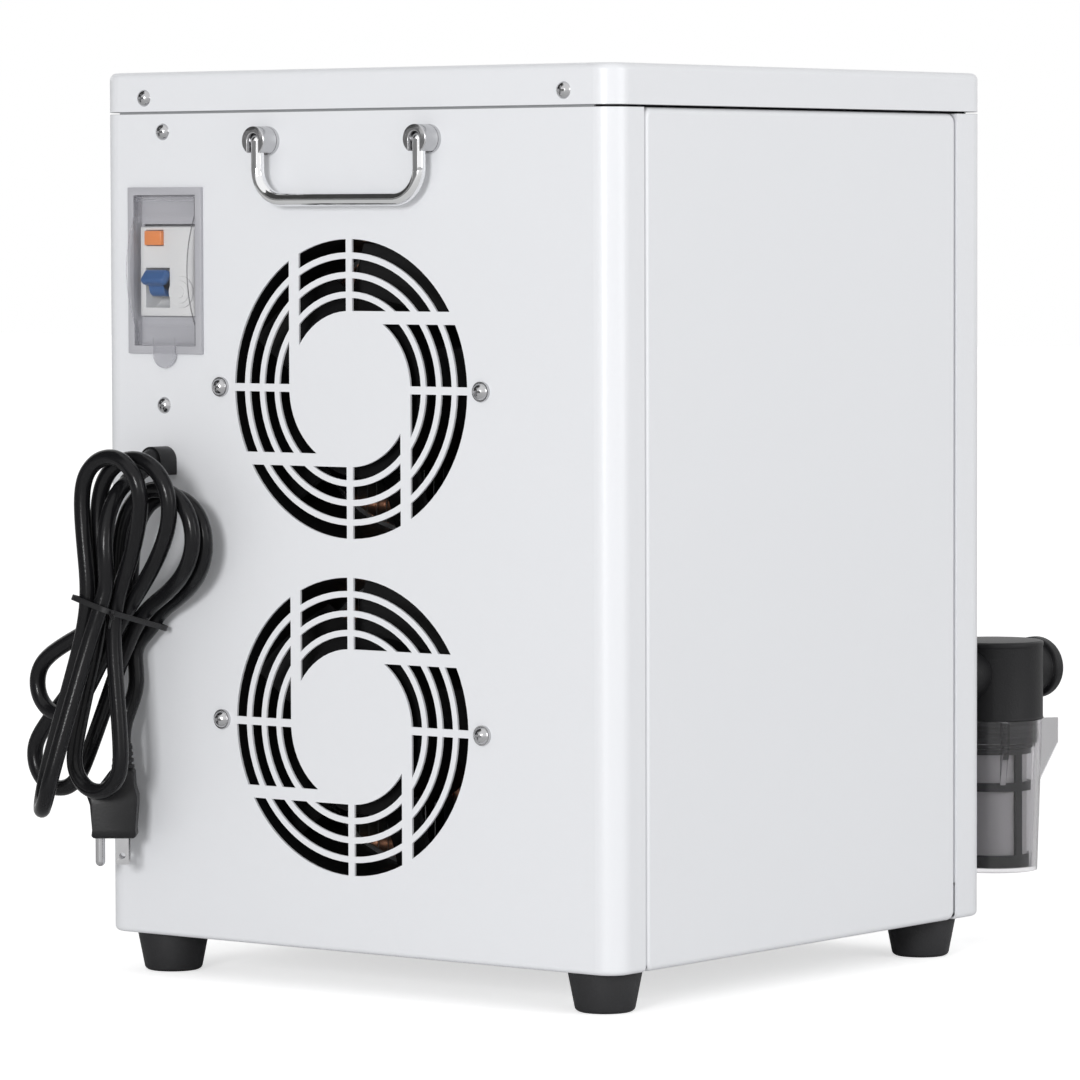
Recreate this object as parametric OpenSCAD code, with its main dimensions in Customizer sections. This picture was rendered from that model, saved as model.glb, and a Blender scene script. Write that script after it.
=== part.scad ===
/* [Cabinet] */
// Overall width across the fan face
cab_w = 318; // [312:1:360]
// Overall depth from the fan face to the filter face
cab_d = 315; // [312:1:360]
// Height from the floor to the top of the cover
cab_h = 447; // [445:1:480]
// Sheet steel thickness of the panels and the cover
sheet_t = 1.2; // [1:0.1:1.5]
// Outer radius of the upright corners
corner_r = 12; // [10:0.5:14]
// Height of the skirt of the top cover
cover_skirt = 19.5; // [19:0.5:22]
// Outer radius along the top edges of the cover
cover_edge_r = 3.5; // [2.5:0.1:5]
// Dark gap between the cover and the panels
cover_gap = 1; // [0.6:0.1:1.4]
// How far the fan panel turns round onto each side
fan_wrap = 24; // [22:0.5:28]
// How far the front panel turns round onto each side
front_wrap = 27; // [24:0.5:32]
// Gap between neighbouring panels
seam_gap = 0.8; // [0.5:0.1:1]
// Width of the inward return along a panel edge
hem = 8; // [6:0.5:9]
// Outer radius of the bends of the side panels
hem_r = 3; // [2.2:0.1:4]
// Upright corner radius of the side panels, seen from the side
side_corner_r = 5; // [4.2:0.1:7]
// Width of the lip under the cabinet that carries the tray
lip = 14; // [12:0.5:18]
// Upstand of the base tray
tray_h = 16; // [12:1:22]
// Sheet thickness of the base tray
tray_t = 1.5; // [1.2:0.1:1.8]

/* [Feet] */
// Height of a rubber foot
foot_h = 20; // [16:1:26]
// Diameter of a foot where it meets the cabinet
foot_top_d = 36; // [32:1:40]
// Diameter of a foot on the floor
foot_bottom_d = 28; // [24:1:30]
// Distance from the cabinet's sides to a foot's centre
foot_inset = 24; // [22:0.5:30]
// Diameter of the foot screws
foot_screw_d = 5; // [4:0.5:6]

/* [Fans and grilles] */
// Height of the lower fan's centre above the floor
lower_fan_z = 129.7; // [122:0.1:134]
// Gap between the housings of the two fans
fan_gap = 13.1; // [10:0.1:18]
// Distance of a fan's fixing screws outside its round housing
fan_lug_out = 6; // [5:0.5:8]
// Wall of a fan's round housing
fan_wall = 3; // [2:0.5:4]
// Depth of a fan
fan_depth = 51; // [44:1:51]
// Diameter over the blades
fan_blade_d = 140; // [130:1:142]
// Hub diameter of a fan rotor
fan_hub_d = 86; // [80:1:90]
// Number of blades
fan_blades = 5; // [5:1:7]
// Outer radius of a grille
grille_r = 72.2; // [68:0.1:73]
// Width of a grille slot
slot_w = 6.4; // [5:0.1:6.8]
// Width of the rib between two slots
rib_w = 3; // [2.5:0.1:3.4]
// Number of slot rings
slot_rings = 4; // [3:1:4]
// Width of the thin upright and level spokes
spoke_w = 3.8; // [3:0.1:5]
// Width of the four arms set off from the centre
arm_w = 6.2; // [5:0.1:8]

/* [Handles] */
// Distance between the two bosses of a handle
handle_span = 100; // [90:1:110]
// Depth of the handle pivots below the top of the cover
handle_drop = 34.5; // [33:0.5:39]
// Diameter of a boss
boss_d = 14; // [13:0.5:16]
// How far a boss stands out of the panel
boss_len = 12; // [11.5:0.5:14]
// Wire diameter of the bail
bail_d = 6.5; // [6:0.1:7]
// Drop from the pivots to the centre of the grip
bail_drop = 28.5; // [25:0.5:34]
// Bend radius of the bail along its centre
bail_bend_r = 15; // [10:0.5:18]
// Diameter of the pivot pins
pin_d = 3; // [2.5:0.1:3.2]

/* [Breaker window] */
// Distance from the cabinet's side to the window's centre
window_inset = 43.2; // [42:0.1:44]
// Depth of the window's centre below the top of the cover
window_drop = 97.5; // [96:0.5:100]
// Outer width of the bezel
window_w = 47.5; // [46:0.5:49]
// Outer height of the bezel
window_h = 81.8; // [80:0.2:84]
// How far the bezel stands out of the panel
bezel_out = 2; // [1.5:0.1:2.6]
// Width of the bezel's border
bezel_border = 2.6; // [2.2:0.1:3]
// How far the clear flap bulges in front of the bezel
flap_bulge = 6; // [5.6:0.1:7]
// Wall of the clear flap
flap_wall = 1.5; // [1.2:0.1:1.6]
// Width of the breaker
breaker_w = 36; // [35:0.2:36.4]
// Height of the breaker's nose
breaker_nose_h = 45; // [44:0.2:46]
// Height of the breaker's body behind the panel
breaker_body_h = 84; // [80:1:86]
// Depth of the breaker from its nose to the rail
breaker_depth = 62; // [58:1:64]
// Travel of the test button
button_travel = 1.2; // [0.8:0.1:1.4]

/* [Filter and water] */
// Distance from the cabinet's side to the filter's axis
filter_inset = 29; // [28:0.5:33]
// Distance of the filter's axis in front of the front panel
filter_out = 51; // [48:0.5:56]
// Height of the water ports above the floor
port_z = 139.5; // [138:0.5:141]
// Radius of the filter head
head_r = 26; // [25.8:0.1:27]
// Height of the filter head
head_h = 40.4; // [38:0.2:42]
// Height of the head's flat top above the port axis
head_rise = 16.5; // [16.2:0.1:18]
// Outer radius of the bowl under the head
bowl_r = 25.4; // [25:0.1:25.6]
// Outer radius of the bowl at its foot
bowl_foot_r = 22.8; // [22.4:0.1:24]
// Wall of the clear bowl
bowl_wall = 2.2; // [1.8:0.1:2.4]
// Length of the bowl below the head
bowl_len = 78.6; // [74:0.2:80]
// Reach of the bowl's grip wings from the axis
wing_reach = 34; // [30:0.5:36]
// Reach of the outer port from the filter's axis
port_reach = 43; // [42:0.5:48]
// Radius of the collar on the outer port
collar_r = 16; // [15:0.5:16]
// Width of the collar
collar_w = 6.6; // [5:0.1:8]
// Bore radius of the water ports
port_bore_r = 9; // [8:0.1:10]
// Outer radius of the water ports
port_r = 13.5; // [13:0.1:14]

/* [Mains cord] */
// Diameter of the mains cord
cord_d = 8; // [7:0.1:8]
// Distance from the cabinet's side to the gland
gland_inset = 42; // [41:0.5:43]
// Height of the gland above the floor
gland_z = 256; // [255:0.5:257]
// Width of the gland's flange
gland_w = 14; // [13:0.5:16]
// How far the gland's flange stands out
gland_len = 12; // [11:0.5:13]

/* [Hidden] */
$fn = 64;
cut = 1;
fit = 0.3;
run_fit = 0.06;

// The cabinet's faces, with the whole part's box centred on the origin
face_y = (boss_len - cab_d - filter_out - port_reach) / 2;
front_y = face_y + cab_d;
cab_y = face_y + cab_d / 2;
panel_top = cab_h - cover_skirt - cover_gap;
tray_z = foot_h + sheet_t;
tray_top = tray_z + tray_t;
tray_fit = fit + sheet_t;
inner_y = face_y + sheet_t;
window_x = window_inset - cab_w / 2;
window_z = cab_h - window_drop;
handle_z = cab_h - handle_drop;
gland_x = gland_inset - cab_w / 2;
filter_x = cab_w / 2 - filter_inset;

// Screws
screw_d = 4;
screw_head_d = 8.3;
screw_head_h = 2.9;
screw_len = 9;
hole_fit = 0.15;
cover_screw_inset = 29;
cover_screw_drop = 12.7;
cover_screw_x = cab_w / 2 - cover_screw_inset;
bracket_off = 2.2;
bracket_up = 68.1;
bracket_down = 66.4;
bracket_screw_x = window_x - bracket_off;
bracket_top_z = window_z + bracket_up;
bracket_bottom_z = window_z - bracket_down;

// Fan housings
blade_gap = 2;
fan_body_d = fan_blade_d + 2 * (blade_gap + fan_wall);
fan_screw_pitch = fan_body_d + 2 * fan_lug_out;
fan_step = fan_body_d + fan_gap;

// Solid slab with rounded upright corners and a rounded lower edge
module rounded_slab(w, d, h, corner, edge) {
    for (x = [-1, 1], y = [-1, 1])
        translate([x * (w / 2 - corner), y * (d / 2 - corner), 0])
            rotate_extrude() slab_half(corner, h, edge);
    rotate([90, 0, 90]) linear_extrude(height = w - 2 * corner, center = true) slab_section(d, h, edge);
    rotate([90, 0, 0]) linear_extrude(height = d - 2 * corner, center = true) slab_section(w, h, edge);
}

module slab_half(r, h, edge) {
    square([r - edge, h]);
    translate([0, edge]) square([r, h - edge]);
    intersection() {
        translate([r - edge, edge]) circle(edge);
        square([r, h]);
    }
}

module slab_section(w, h, edge) {
    translate([-w / 2, edge]) square([w, h - edge]);
    translate([-w / 2 + edge, 0]) square([w - 2 * edge, h]);
    for (s = [-1, 1]) translate([s * (w / 2 - edge), edge]) circle(edge);
}

// Open pan of sheet, its floor at z = 0
module pan(w, d, h, corner, edge, t) {
    difference() {
        rounded_slab(w, d, h, corner, edge);
        translate([0, 0, t]) rounded_slab(w - 2 * t, d - 2 * t, h, corner - t, edge - t);
    }
}

// A place on the fan face: x to the right, y up, z out of the cabinet
module on_fan_face(x, z) {
    translate([x, face_y, z]) rotate([90, 0, 0]) children();
}

// A place on the front face: y up, z out of the cabinet
module on_front_face(x, z) {
    translate([x, front_y, z]) rotate([90, 0, 180]) children();
}

// Round bar from one point to another
module bar(a, b, d) {
    v = b - a;
    translate(a) rotate([0, acos(v.z / norm(v)), atan2(v.y, v.x)]) cylinder(h = norm(v), d = d);
}

// Pipe along a list of points, with ball elbows
module pipe(points, d) {
    for (i = [0:len(points) - 2]) bar(points[i], points[i + 1], d);
    for (i = [1:len(points) - 2]) translate(points[i]) sphere(d = d);
}

// Domed cross-head screw: the head's seat is at z = 0, the shank runs to -z
module dome_screw(d, head_d, head_h, shank) {
    dome_r = (head_d * head_d / 4 + head_h * head_h) / (2 * head_h);
    recess_w = head_d * recess_share;
    difference() {
        union() {
            intersection() {
                translate([0, 0, head_h - dome_r]) sphere(dome_r);
                cylinder(h = head_h + cut, d = head_d);
            }
            translate([0, 0, -shank]) cylinder(h = shank, d = d);
        }
        for (a = [0, 90]) rotate(a)
            translate([-head_d * recess_reach_share / 2, -recess_w / 2, head_h / 2])
                cube([head_d * recess_reach_share, recess_w, head_h]);
    }
}
recess_share = 0.13;
recess_reach_share = 0.5;

module washer(d, hole_d, t) {
    difference() {
        cylinder(h = t, d = d);
        translate([0, 0, -cut]) cylinder(h = t + 2 * cut, d = hole_d);
    }
}

module hex_nut(across, hole_d, t) {
    difference() {
        cylinder(h = t, d = across / cos(30), $fn = 6);
        translate([0, 0, -cut]) cylinder(h = t + 2 * cut, d = hole_d);
    }
}

// The space that the tray takes inside the panels
module tray_room() {
    translate([0, cab_y, tray_z])
        rounded_slab(cab_w - 2 * sheet_t, cab_d - 2 * sheet_t, tray_h + sheet_t,
            corner_r - sheet_t, bottom_edge_r - sheet_t);
}
bottom_edge_r = 2.6;

module base_tray() {
    color("silver") difference() {
        translate([0, cab_y, tray_z])
            pan(cab_w - 2 * tray_fit, cab_d - 2 * tray_fit, tray_h, corner_r - tray_fit, bottom_edge_r, tray_t);
        for (x = [-1, 1], y = [-1, 1]) foot_place(x, y)
            translate([0, 0, -cut]) cylinder(h = foot_h + tray_h, d = foot_screw_d + hole_fit);
        for (a = mount_angles) compressor_foot_place(a)
            translate([0, 0, -tray_t - cut]) cylinder(h = tray_t + 2 * cut, d = mount_bolt_d + hole_fit);
    }
}

// The four walls and the bottom lip of the cabinet as one bent shell
module cabinet_shell() {
    difference() {
        translate([0, cab_y, foot_h])
            pan(cab_w, cab_d, panel_top - foot_h, corner_r, bottom_edge_r, sheet_t);
        translate([lip - cab_w / 2, face_y + lip, foot_h - cut])
            cube([cab_w - 2 * lip, cab_d - 2 * lip, sheet_t + 2 * cut]);
    }
}

module across_cabinet(from_y, to_y) {
    translate([-cab_w, from_y, 0]) cube([2 * cab_w, to_y - from_y, cab_h]);
}

// Inward returns at the ends of a wrapped panel, and the tab that the cover is screwed to
module panel_returns(edge_y, face, inward) {
    hem_z = tray_z + tray_h + sheet_t + fit;
    for (s = [-1, 1])
        translate([s * (cab_w / 2 - hem / 2 - sheet_t / 4) - hem / 2 + sheet_t / 4,
                   min(edge_y, edge_y - inward * sheet_t), hem_z])
            cube([hem - sheet_t / 2, sheet_t, panel_top - hem_z]);
    tab_w = cab_w - 2 * corner_r;
    translate([-tab_w / 2, min(face + inward * sheet_t, face + 2 * inward * sheet_t), panel_top - tab_lap])
        cube([tab_w, sheet_t, tab_lap + cover_gap + cover_skirt - cover_edge_r]);
    translate([-tab_w / 2, min(face + inward * sheet_t / 2, face + 2 * inward * sheet_t), panel_top - tab_lap])
        cube([tab_w, 3 * sheet_t / 2, tab_lap]);
}
tab_lap = 2.5;

// Screw hole through a face, at a place that the caller sets
module face_hole(d) {
    translate([0, 0, -hole_reach]) cylinder(h = 2 * hole_reach, d = d);
}
hole_reach = 5;

// One round grille as an outline: rings of slots, two thin spokes and four arms beside the centre
module grille_outline() {
    inner_r = grille_r - slot_rings * slot_w - (slot_rings - 1) * rib_w;
    difference() {
        for (i = [0:slot_rings - 1]) {
            r = grille_r - i * (slot_w + rib_w);
            difference() {
                circle(r);
                circle(r - slot_w);
            }
        }
        square([2 * grille_r + 2 * cut, spoke_w], center = true);
        square([spoke_w, 2 * grille_r + 2 * cut], center = true);
        for (a = [0:90:270]) rotate(a)
            translate([0, inner_r - arm_w]) square([grille_r + cut, arm_w]);
    }
}

module fan_panel() {
    color("white") difference() {
        union() {
            difference() {
                intersection() {
                    cabinet_shell();
                    across_cabinet(face_y - cut, face_y + fan_wrap);
                }
                tray_room();
            }
            panel_returns(face_y + fan_wrap, face_y, 1);
        }
        for (z = fan_zs) {
            on_fan_face(0, z) translate([0, 0, -hole_reach])
                linear_extrude(height = 2 * hole_reach) grille_outline();
            for (s = [-1, 1]) on_fan_face(s * fan_screw_pitch / 2, z) face_hole(screw_d + hole_fit);
        }
        for (s = [-1, 1]) on_fan_face(s * cover_screw_x, cover_screw_z) face_hole(screw_d + hole_fit);
        for (z = [bracket_top_z, bracket_bottom_z]) on_fan_face(bracket_screw_x, z) face_hole(screw_d + hole_fit);
        for (s = [-1, 1]) on_fan_face(s * handle_span / 2, handle_z) face_hole(boss_screw_d + hole_fit);
        on_fan_face(window_x, window_z)
            cube([window_w - 2 * bezel_border + 2 * fit, window_h - 2 * bezel_border + 2 * fit, 2 * hole_reach], center = true);
        on_fan_face(gland_x, gland_z) face_hole(gland_neck_d + 2 * hole_fit);
    }
}
fan_zs = [lower_fan_z, lower_fan_z + fan_step];
cover_screw_z = cab_h - cover_screw_drop;
boss_screw_d = 5;
gland_neck_d = 12;

module front_panel() {
    color("white") difference() {
        union() {
            difference() {
                intersection() {
                    cabinet_shell();
                    across_cabinet(front_y - front_wrap, front_y + cut);
                }
                tray_room();
            }
            panel_returns(front_y - front_wrap, front_y, -1);
        }
        for (s = [-1, 1]) {
            on_front_face(s * cover_screw_x, cover_screw_z) face_hole(screw_d + hole_fit);
            on_front_face(s * handle_span / 2, handle_z) face_hole(boss_screw_d + hole_fit);
            on_front_face(s * filter_x, port_z) face_hole(2 * tail_r + 2 * hole_fit);
        }
        on_front_face(0, display_z)
            cube([display_w - 2 * display_border + 2 * fit, display_h - 2 * display_border + 2 * fit, 2 * hole_reach],
                center = true);
    }
}
display_w = 92;
display_h = 46;
display_border = 4;
display_drop = 95;
display_z = cab_h - display_drop;
display_out = 3;
tail_r = 11.5;

// Removable side panel: a shallow pan standing on edge, its floor outwards
module side_panel(s) {
    side_len = cab_d - fan_wrap - front_wrap - 2 * seam_gap;
    side_h = panel_top - foot_h;
    color("white") difference() {
        translate([s * cab_w / 2, face_y + fan_wrap + seam_gap + side_len / 2, foot_h + side_h / 2])
            rotate([0, -s * 90, 0])
                pan(side_h, side_len, hem, side_corner_r, hem_r, sheet_t);
        tray_room();
    }
}
module side_panel_left() { side_panel(-1); }
module side_panel_right() { side_panel(1); }

module top_cover() {
    color("white") difference() {
        translate([0, cab_y, cab_h]) mirror([0, 0, 1])
            pan(cab_w, cab_d, cover_skirt, corner_r, cover_edge_r, sheet_t);
        for (s = [-1, 1]) {
            on_fan_face(s * cover_screw_x, cover_screw_z) face_hole(screw_d + hole_fit);
            on_front_face(s * cover_screw_x, cover_screw_z) face_hole(screw_d + hole_fit);
        }
    }
}

module cover_screws() {
    color("gainsboro") for (s = [-1, 1]) {
        on_fan_face(s * cover_screw_x, cover_screw_z) dome_screw(screw_d, screw_head_d, screw_head_h, screw_len);
        on_front_face(s * cover_screw_x, cover_screw_z) dome_screw(screw_d, screw_head_d, screw_head_h, screw_len);
    }
}

module bracket_screws() {
    color("gainsboro") for (z = [bracket_top_z, bracket_bottom_z])
        on_fan_face(bracket_screw_x, z) dome_screw(screw_d, screw_head_d, screw_head_h, screw_len);
}

// Screws with a flat washer under each head
module fan_screws() {
    color("gainsboro") for (z = fan_zs, s = [-1, 1])
        on_fan_face(s * fan_screw_pitch / 2, z) {
            translate([0, 0, fan_washer_t])
                dome_screw(screw_d, screw_head_d, screw_head_h, fan_washer_t + sheet_t + fan_lug_t + fan_nut_t + 2 * cut);
            difference() {
                cylinder(h = fan_washer_t, d = fan_washer_d);
                translate([0, 0, -cut]) cylinder(h = fan_washer_t + cut, d = screw_d - cut);
            }
        }
}
fan_washer_t = 1.6;
fan_washer_d = 9.6;
fan_lug_t = 5;
fan_nut_t = 3.2;
fan_nut_w = 7;

module fan_nuts() {
    color("gainsboro") for (z = fan_zs, s = [-1, 1])
        on_fan_face(s * fan_screw_pitch / 2, z)
            translate([0, 0, -sheet_t - fan_lug_t - fan_nut_t]) hex_nut(fan_nut_w, screw_d + 2 * run_fit, fan_nut_t);
}

// Foot place: s and t are -1 or 1; -1 in t is the fan side
module foot_place(s, t) {
    translate([s * (cab_w / 2 - foot_inset), cab_y + t * (cab_d / 2 - foot_inset), 0]) children();
}

module foot(s, t) {
    color("dimgray") foot_place(s, t) difference() {
        cylinder(h = foot_h, d1 = foot_bottom_d, d2 = foot_top_d);
        translate([0, 0, -cut]) cylinder(h = foot_recess_h + cut, d = foot_recess_d);
        cylinder(h = foot_h + cut, d = foot_screw_d + hole_fit);
    }
}
foot_recess_h = 8;
foot_recess_d = 13;
module foot_fan_left() { foot(-1, -1); }
module foot_fan_right() { foot(1, -1); }
module foot_front_left() { foot(-1, 1); }
module foot_front_right() { foot(1, 1); }

// Screws from below through the feet, lips and tray, with their nuts
module foot_screws() {
    color("gainsboro") for (s = [-1, 1], t = [-1, 1]) foot_place(s, t) {
        translate([0, 0, foot_recess_h]) mirror([0, 0, 1])
            dome_screw(foot_screw_d, foot_screw_d * 2, foot_screw_d / 2,
                tray_top - foot_recess_h + foot_nut_t + cut);
        translate([0, 0, tray_top]) hex_nut(foot_screw_d * hex_share, foot_screw_d + 2 * run_fit, foot_nut_t);
    }
}
foot_nut_t = 4;
hex_share = 1.6;

// Slotted boss: a turned stud with an arched slot, open in front and below
module boss() {
    slot = bail_d + 2 * slot_side_fit;
    difference() {
        union() {
            cylinder(h = boss_len, d = boss_d);
            translate([0, 0, -boss_screw_len]) cylinder(h = boss_screw_len, d = boss_screw_d);
        }
        translate([0, 0, boss_floor]) cylinder(h = boss_len, d = slot);
        translate([-slot / 2, -boss_d, boss_floor]) cube([slot, boss_d, boss_len]);
        translate([-boss_d, 0, pivot_out]) rotate([0, 90, 0]) cylinder(h = 2 * boss_d, d = pin_d + 2 * run_fit);
    }
}
slot_side_fit = 0.35;
boss_floor = 2;
boss_screw_len = 8;
pivot_depth_share = 0.575;
pivot_out = boss_len - bail_d * pivot_depth_share;

module handle_pair_of_bosses() {
    for (s = [-1, 1]) translate([s * handle_span / 2, 0, 0]) boss();
}

// Bail wire hanging from the two pivots, in the face's own frame
module handle_bail() {
    leg = bail_drop - bail_bend_r;
    translate([0, 0, pivot_out]) difference() {
        union() {
            for (s = [-1, 1]) {
                translate([s * handle_span / 2, 0, 0]) sphere(d = bail_d);
                translate([s * handle_span / 2, -leg, 0]) rotate([-90, 0, 0]) cylinder(h = leg, d = bail_d);
            }
            translate([-handle_span / 2 + bail_bend_r, -bail_drop, 0]) rotate([0, 90, 0])
                cylinder(h = handle_span - 2 * bail_bend_r, d = bail_d);
            translate([-handle_span / 2 + bail_bend_r, -leg, 0]) rotate([0, 0, 180])
                rotate_extrude(angle = 90) translate([bail_bend_r, 0]) circle(d = bail_d);
            translate([handle_span / 2 - bail_bend_r, -leg, 0]) rotate([0, 0, 270])
                rotate_extrude(angle = 90) translate([bail_bend_r, 0]) circle(d = bail_d);
        }
        for (s = [-1, 1]) translate([s * handle_span / 2 - bail_d, 0, 0]) rotate([0, 90, 0])
            cylinder(h = 2 * bail_d, d = pin_d + 2 * run_fit);
    }
}

module fan_side_bosses() { color("silver") on_fan_face(0, handle_z) handle_pair_of_bosses(); }
module fan_side_bail() { color("silver") on_fan_face(0, handle_z) handle_bail(); }
module front_side_bosses() { color("silver") on_front_face(0, handle_z) handle_pair_of_bosses(); }
module front_side_bail() { color("silver") on_front_face(0, handle_z) handle_bail(); }

module handle_pins() {
    pin_len = boss_d * pin_share;
    color("silver") for (s = [-1, 1]) {
        on_fan_face(s * handle_span / 2, handle_z) translate([-pin_len / 2, 0, pivot_out])
            rotate([0, 90, 0]) cylinder(h = pin_len, d = pin_d);
        on_front_face(s * handle_span / 2, handle_z) translate([-pin_len / 2, 0, pivot_out])
            rotate([0, 90, 0]) cylinder(h = pin_len, d = pin_d);
    }
}
pin_share = 0.94;

// Bezel: a thin frame on the panel with a square sleeve through it, closed round the breaker's nose by a mask;
// the flap's hinge holes are near the top
module breaker_bezel() {
    sleeve_w = window_w - 2 * bezel_border;
    sleeve_h = window_h - 2 * bezel_border;
    color("gainsboro") on_fan_face(window_x, window_z) difference() {
        union() {
            translate([-window_w / 2, -window_h / 2, 0]) cube([window_w, window_h, bezel_out]);
            translate([-sleeve_w / 2, -sleeve_h / 2, -bezel_sleeve]) cube([sleeve_w, sleeve_h, bezel_sleeve]);
        }
        translate([bezel_wall - sleeve_w / 2, bezel_wall - sleeve_h / 2, -mask_back])
            cube([sleeve_w - 2 * bezel_wall, sleeve_h - 2 * bezel_wall, mask_back + bezel_out + cut]);
        translate([bezel_wall - sleeve_w / 2, bezel_wall - sleeve_h / 2, -bezel_sleeve - cut])
            cube([sleeve_w - 2 * bezel_wall, sleeve_h - 2 * bezel_wall, bezel_sleeve + cut - mask_back - bezel_wall]);
        cube([breaker_w + 2 * fit, breaker_nose_h + 2 * fit, 4 * bezel_sleeve], center = true);
        translate([0, hinge_up, hinge_out]) rotate([0, 90, 0])
            cylinder(h = sleeve_w - 2 * hinge_cap, d = hinge_d + 2 * run_fit, center = true);
        translate([-tab_w / 2 - fit, -window_h / 2 - cut, tab_seat])
            cube([tab_w + 2 * fit, bezel_border + bezel_wall + 2 * cut, bezel_out]);
    }
}
bezel_sleeve = 8;
bezel_wall = 1.2;
mask_back = 4;
hinge_d = 2;
hinge_cap = 0.4;
hinge_out = 0.6;
hinge_up = window_h / 2 - bezel_border - bezel_wall - hinge_d;
tab_w = 14;
tab_seat = 0.6;

// Clear flap, hinged at its top: a thin bulged front, two side walls and a pull tab
module breaker_flap() {
    inner_w = window_w - 2 * bezel_border - 2 * bezel_wall;
    flap_w = inner_w - 2 * fit;
    flap_low = -window_h / 2 + bezel_border + bezel_wall + fit;
    color("lightgray", 0.5) on_fan_face(window_x, window_z) {
        translate([-flap_w / 2, 0, 0]) rotate([90, 0, 90]) linear_extrude(height = flap_w)
            difference() {
                flap_side(flap_low, 0);
                flap_side(flap_low, flap_wall);
            }
        for (s = [-1, 1]) translate([s * (flap_w - flap_side_t) / 2, 0, 0])
            rotate([90, 0, 90]) linear_extrude(height = flap_side_t, center = true) flap_side(flap_low, 0);
        translate([0, hinge_up, hinge_out]) rotate([0, 90, 0])
            cylinder(h = inner_w + 2 * bezel_wall - 2 * hinge_cap - 2 * fit, d = hinge_d, center = true);
        difference() {
            translate([0, -window_h / 2 + bezel_border, 0]) {
                translate([0, -tab_drop, tab_seat + fit]) cylinder(h = bezel_out, d = tab_w);
                translate([-tab_w / 2, -tab_drop, tab_seat + fit]) cube([tab_w, tab_drop + 2 * bezel_border, bezel_out]);
            }
            translate([0, 0, -bezel_out]) cube([cab_w, cab_d, 2 * bezel_out], center = true);
        }
    }
}
flap_side_t = 1.2;
tab_drop = 2.6;
flap_back = -1.4;

// Side outline of the flap: x is up, y is outwards; inset shrinks it to the hollow behind the front
module flap_side(low, inset) {
    high = hinge_up + hinge_d / 2;
    difference() {
        union() {
            translate([low - (inset > 0 ? cut : 0), flap_back - (inset > 0 ? cut : 0)])
                square([high - low + (inset > 0 ? 2 * cut : 0), bezel_out - flap_back - inset + (inset > 0 ? cut : 0)]);
            intersection() {
                translate([0, bezel_out + flap_bulge - bulge_r]) circle(bulge_r - inset, $fn = 128);
                translate([-bulge_half, -bulge_r]) square([2 * bulge_half, 2 * bulge_r]);
            }
        }
        if (inset > 0) translate([low, flap_back]) square([flap_wall, window_h]);
        translate([-window_h, flap_back - window_h]) square([2 * window_h, window_h - (inset > 0 ? cut : 0)]);
    }
}
bulge_half = 27;
bulge_r = (bulge_half * bulge_half + flap_bulge * flap_bulge) / (2 * flap_bulge);

// Two-module breaker: body behind the panel, nose in the window
module breaker_body() {
    color("whitesmoke") on_fan_face(window_x, window_z) difference() {
        union() {
            translate([-breaker_w / 2, -breaker_nose_h / 2, -breaker_depth]) cube([breaker_w, breaker_nose_h, breaker_depth - nose_back]);
            translate([-breaker_w / 2, -breaker_body_h / 2, -breaker_depth])
                cube([breaker_w, breaker_body_h, breaker_depth - bezel_sleeve - 2 * fit - breaker_step]);
        }
        translate([lever_x - lever_w / 2 - fit, lever_up, lever_axis]) rotate([0, 90, 0])
            cylinder(h = lever_w + 2 * fit, r = lever_room_r);
        translate([lever_x - lever_tip_w / 2 - fit, lever_up, lever_axis]) rotate([0, 90, 0])
            cylinder(h = lever_tip_w + 2 * fit, r = lever_r + fit);
        translate([button_x - button_w / 2 - fit, button_up - button_h / 2 - fit, -nose_back - button_deep - button_travel - fit])
            cube([button_w + 2 * fit, button_h + 2 * fit, button_deep + button_travel + fit + cut]);
        translate([-breaker_w / 2 - cut, -rail_h / 2 - fit, -breaker_depth - cut])
            cube([breaker_w + 2 * cut, rail_h + 2 * fit, rail_t + fit + cut]);
    }
}
nose_back = 1;
breaker_step = 6;
lever_x = -7;
lever_up = -8.5;
lever_axis = -4.5;
lever_w = 10;
lever_tip_w = 15;
lever_r = 10;
lever_hub_r = 4.6;
lever_room_r = 5;
lever_on = 40;
button_x = -8.8;
button_up = 16;
button_w = 11;
button_h = 7.2;
button_deep = 4;
button_out = 1.6;
rail_h = 35;
rail_t = 1.5;

// Toggle of the breaker, in its upper, on, position
module breaker_lever() {
    color("steelblue") on_fan_face(window_x, window_z) translate([lever_x, lever_up, lever_axis])
        difference() {
            union() {
                rotate([0, 90, 0]) cylinder(h = lever_w, r = lever_hub_r, center = true);
                rotate([-lever_on, 0, 0]) {
                    translate([-lever_w / 2, -lever_thick / 2, 0]) cube([lever_w, lever_thick, lever_r - lever_thick / 2]);
                    translate([0, 0, lever_r - lever_thick / 2]) rotate([0, 90, 0])
                        cylinder(h = lever_tip_w, d = lever_thick, center = true);
                }
            }
            rotate([0, 90, 0]) cylinder(h = 2 * lever_w, d = lever_pin_d, center = true);
        }
}
lever_thick = 5;
lever_pin_d = 2;

module test_button() {
    color("sandybrown") on_fan_face(window_x, window_z)
        translate([button_x - button_w / 2, button_up - button_h / 2, -nose_back - button_deep])
            cube([button_w, button_h, button_deep + button_out]);
}

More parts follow.
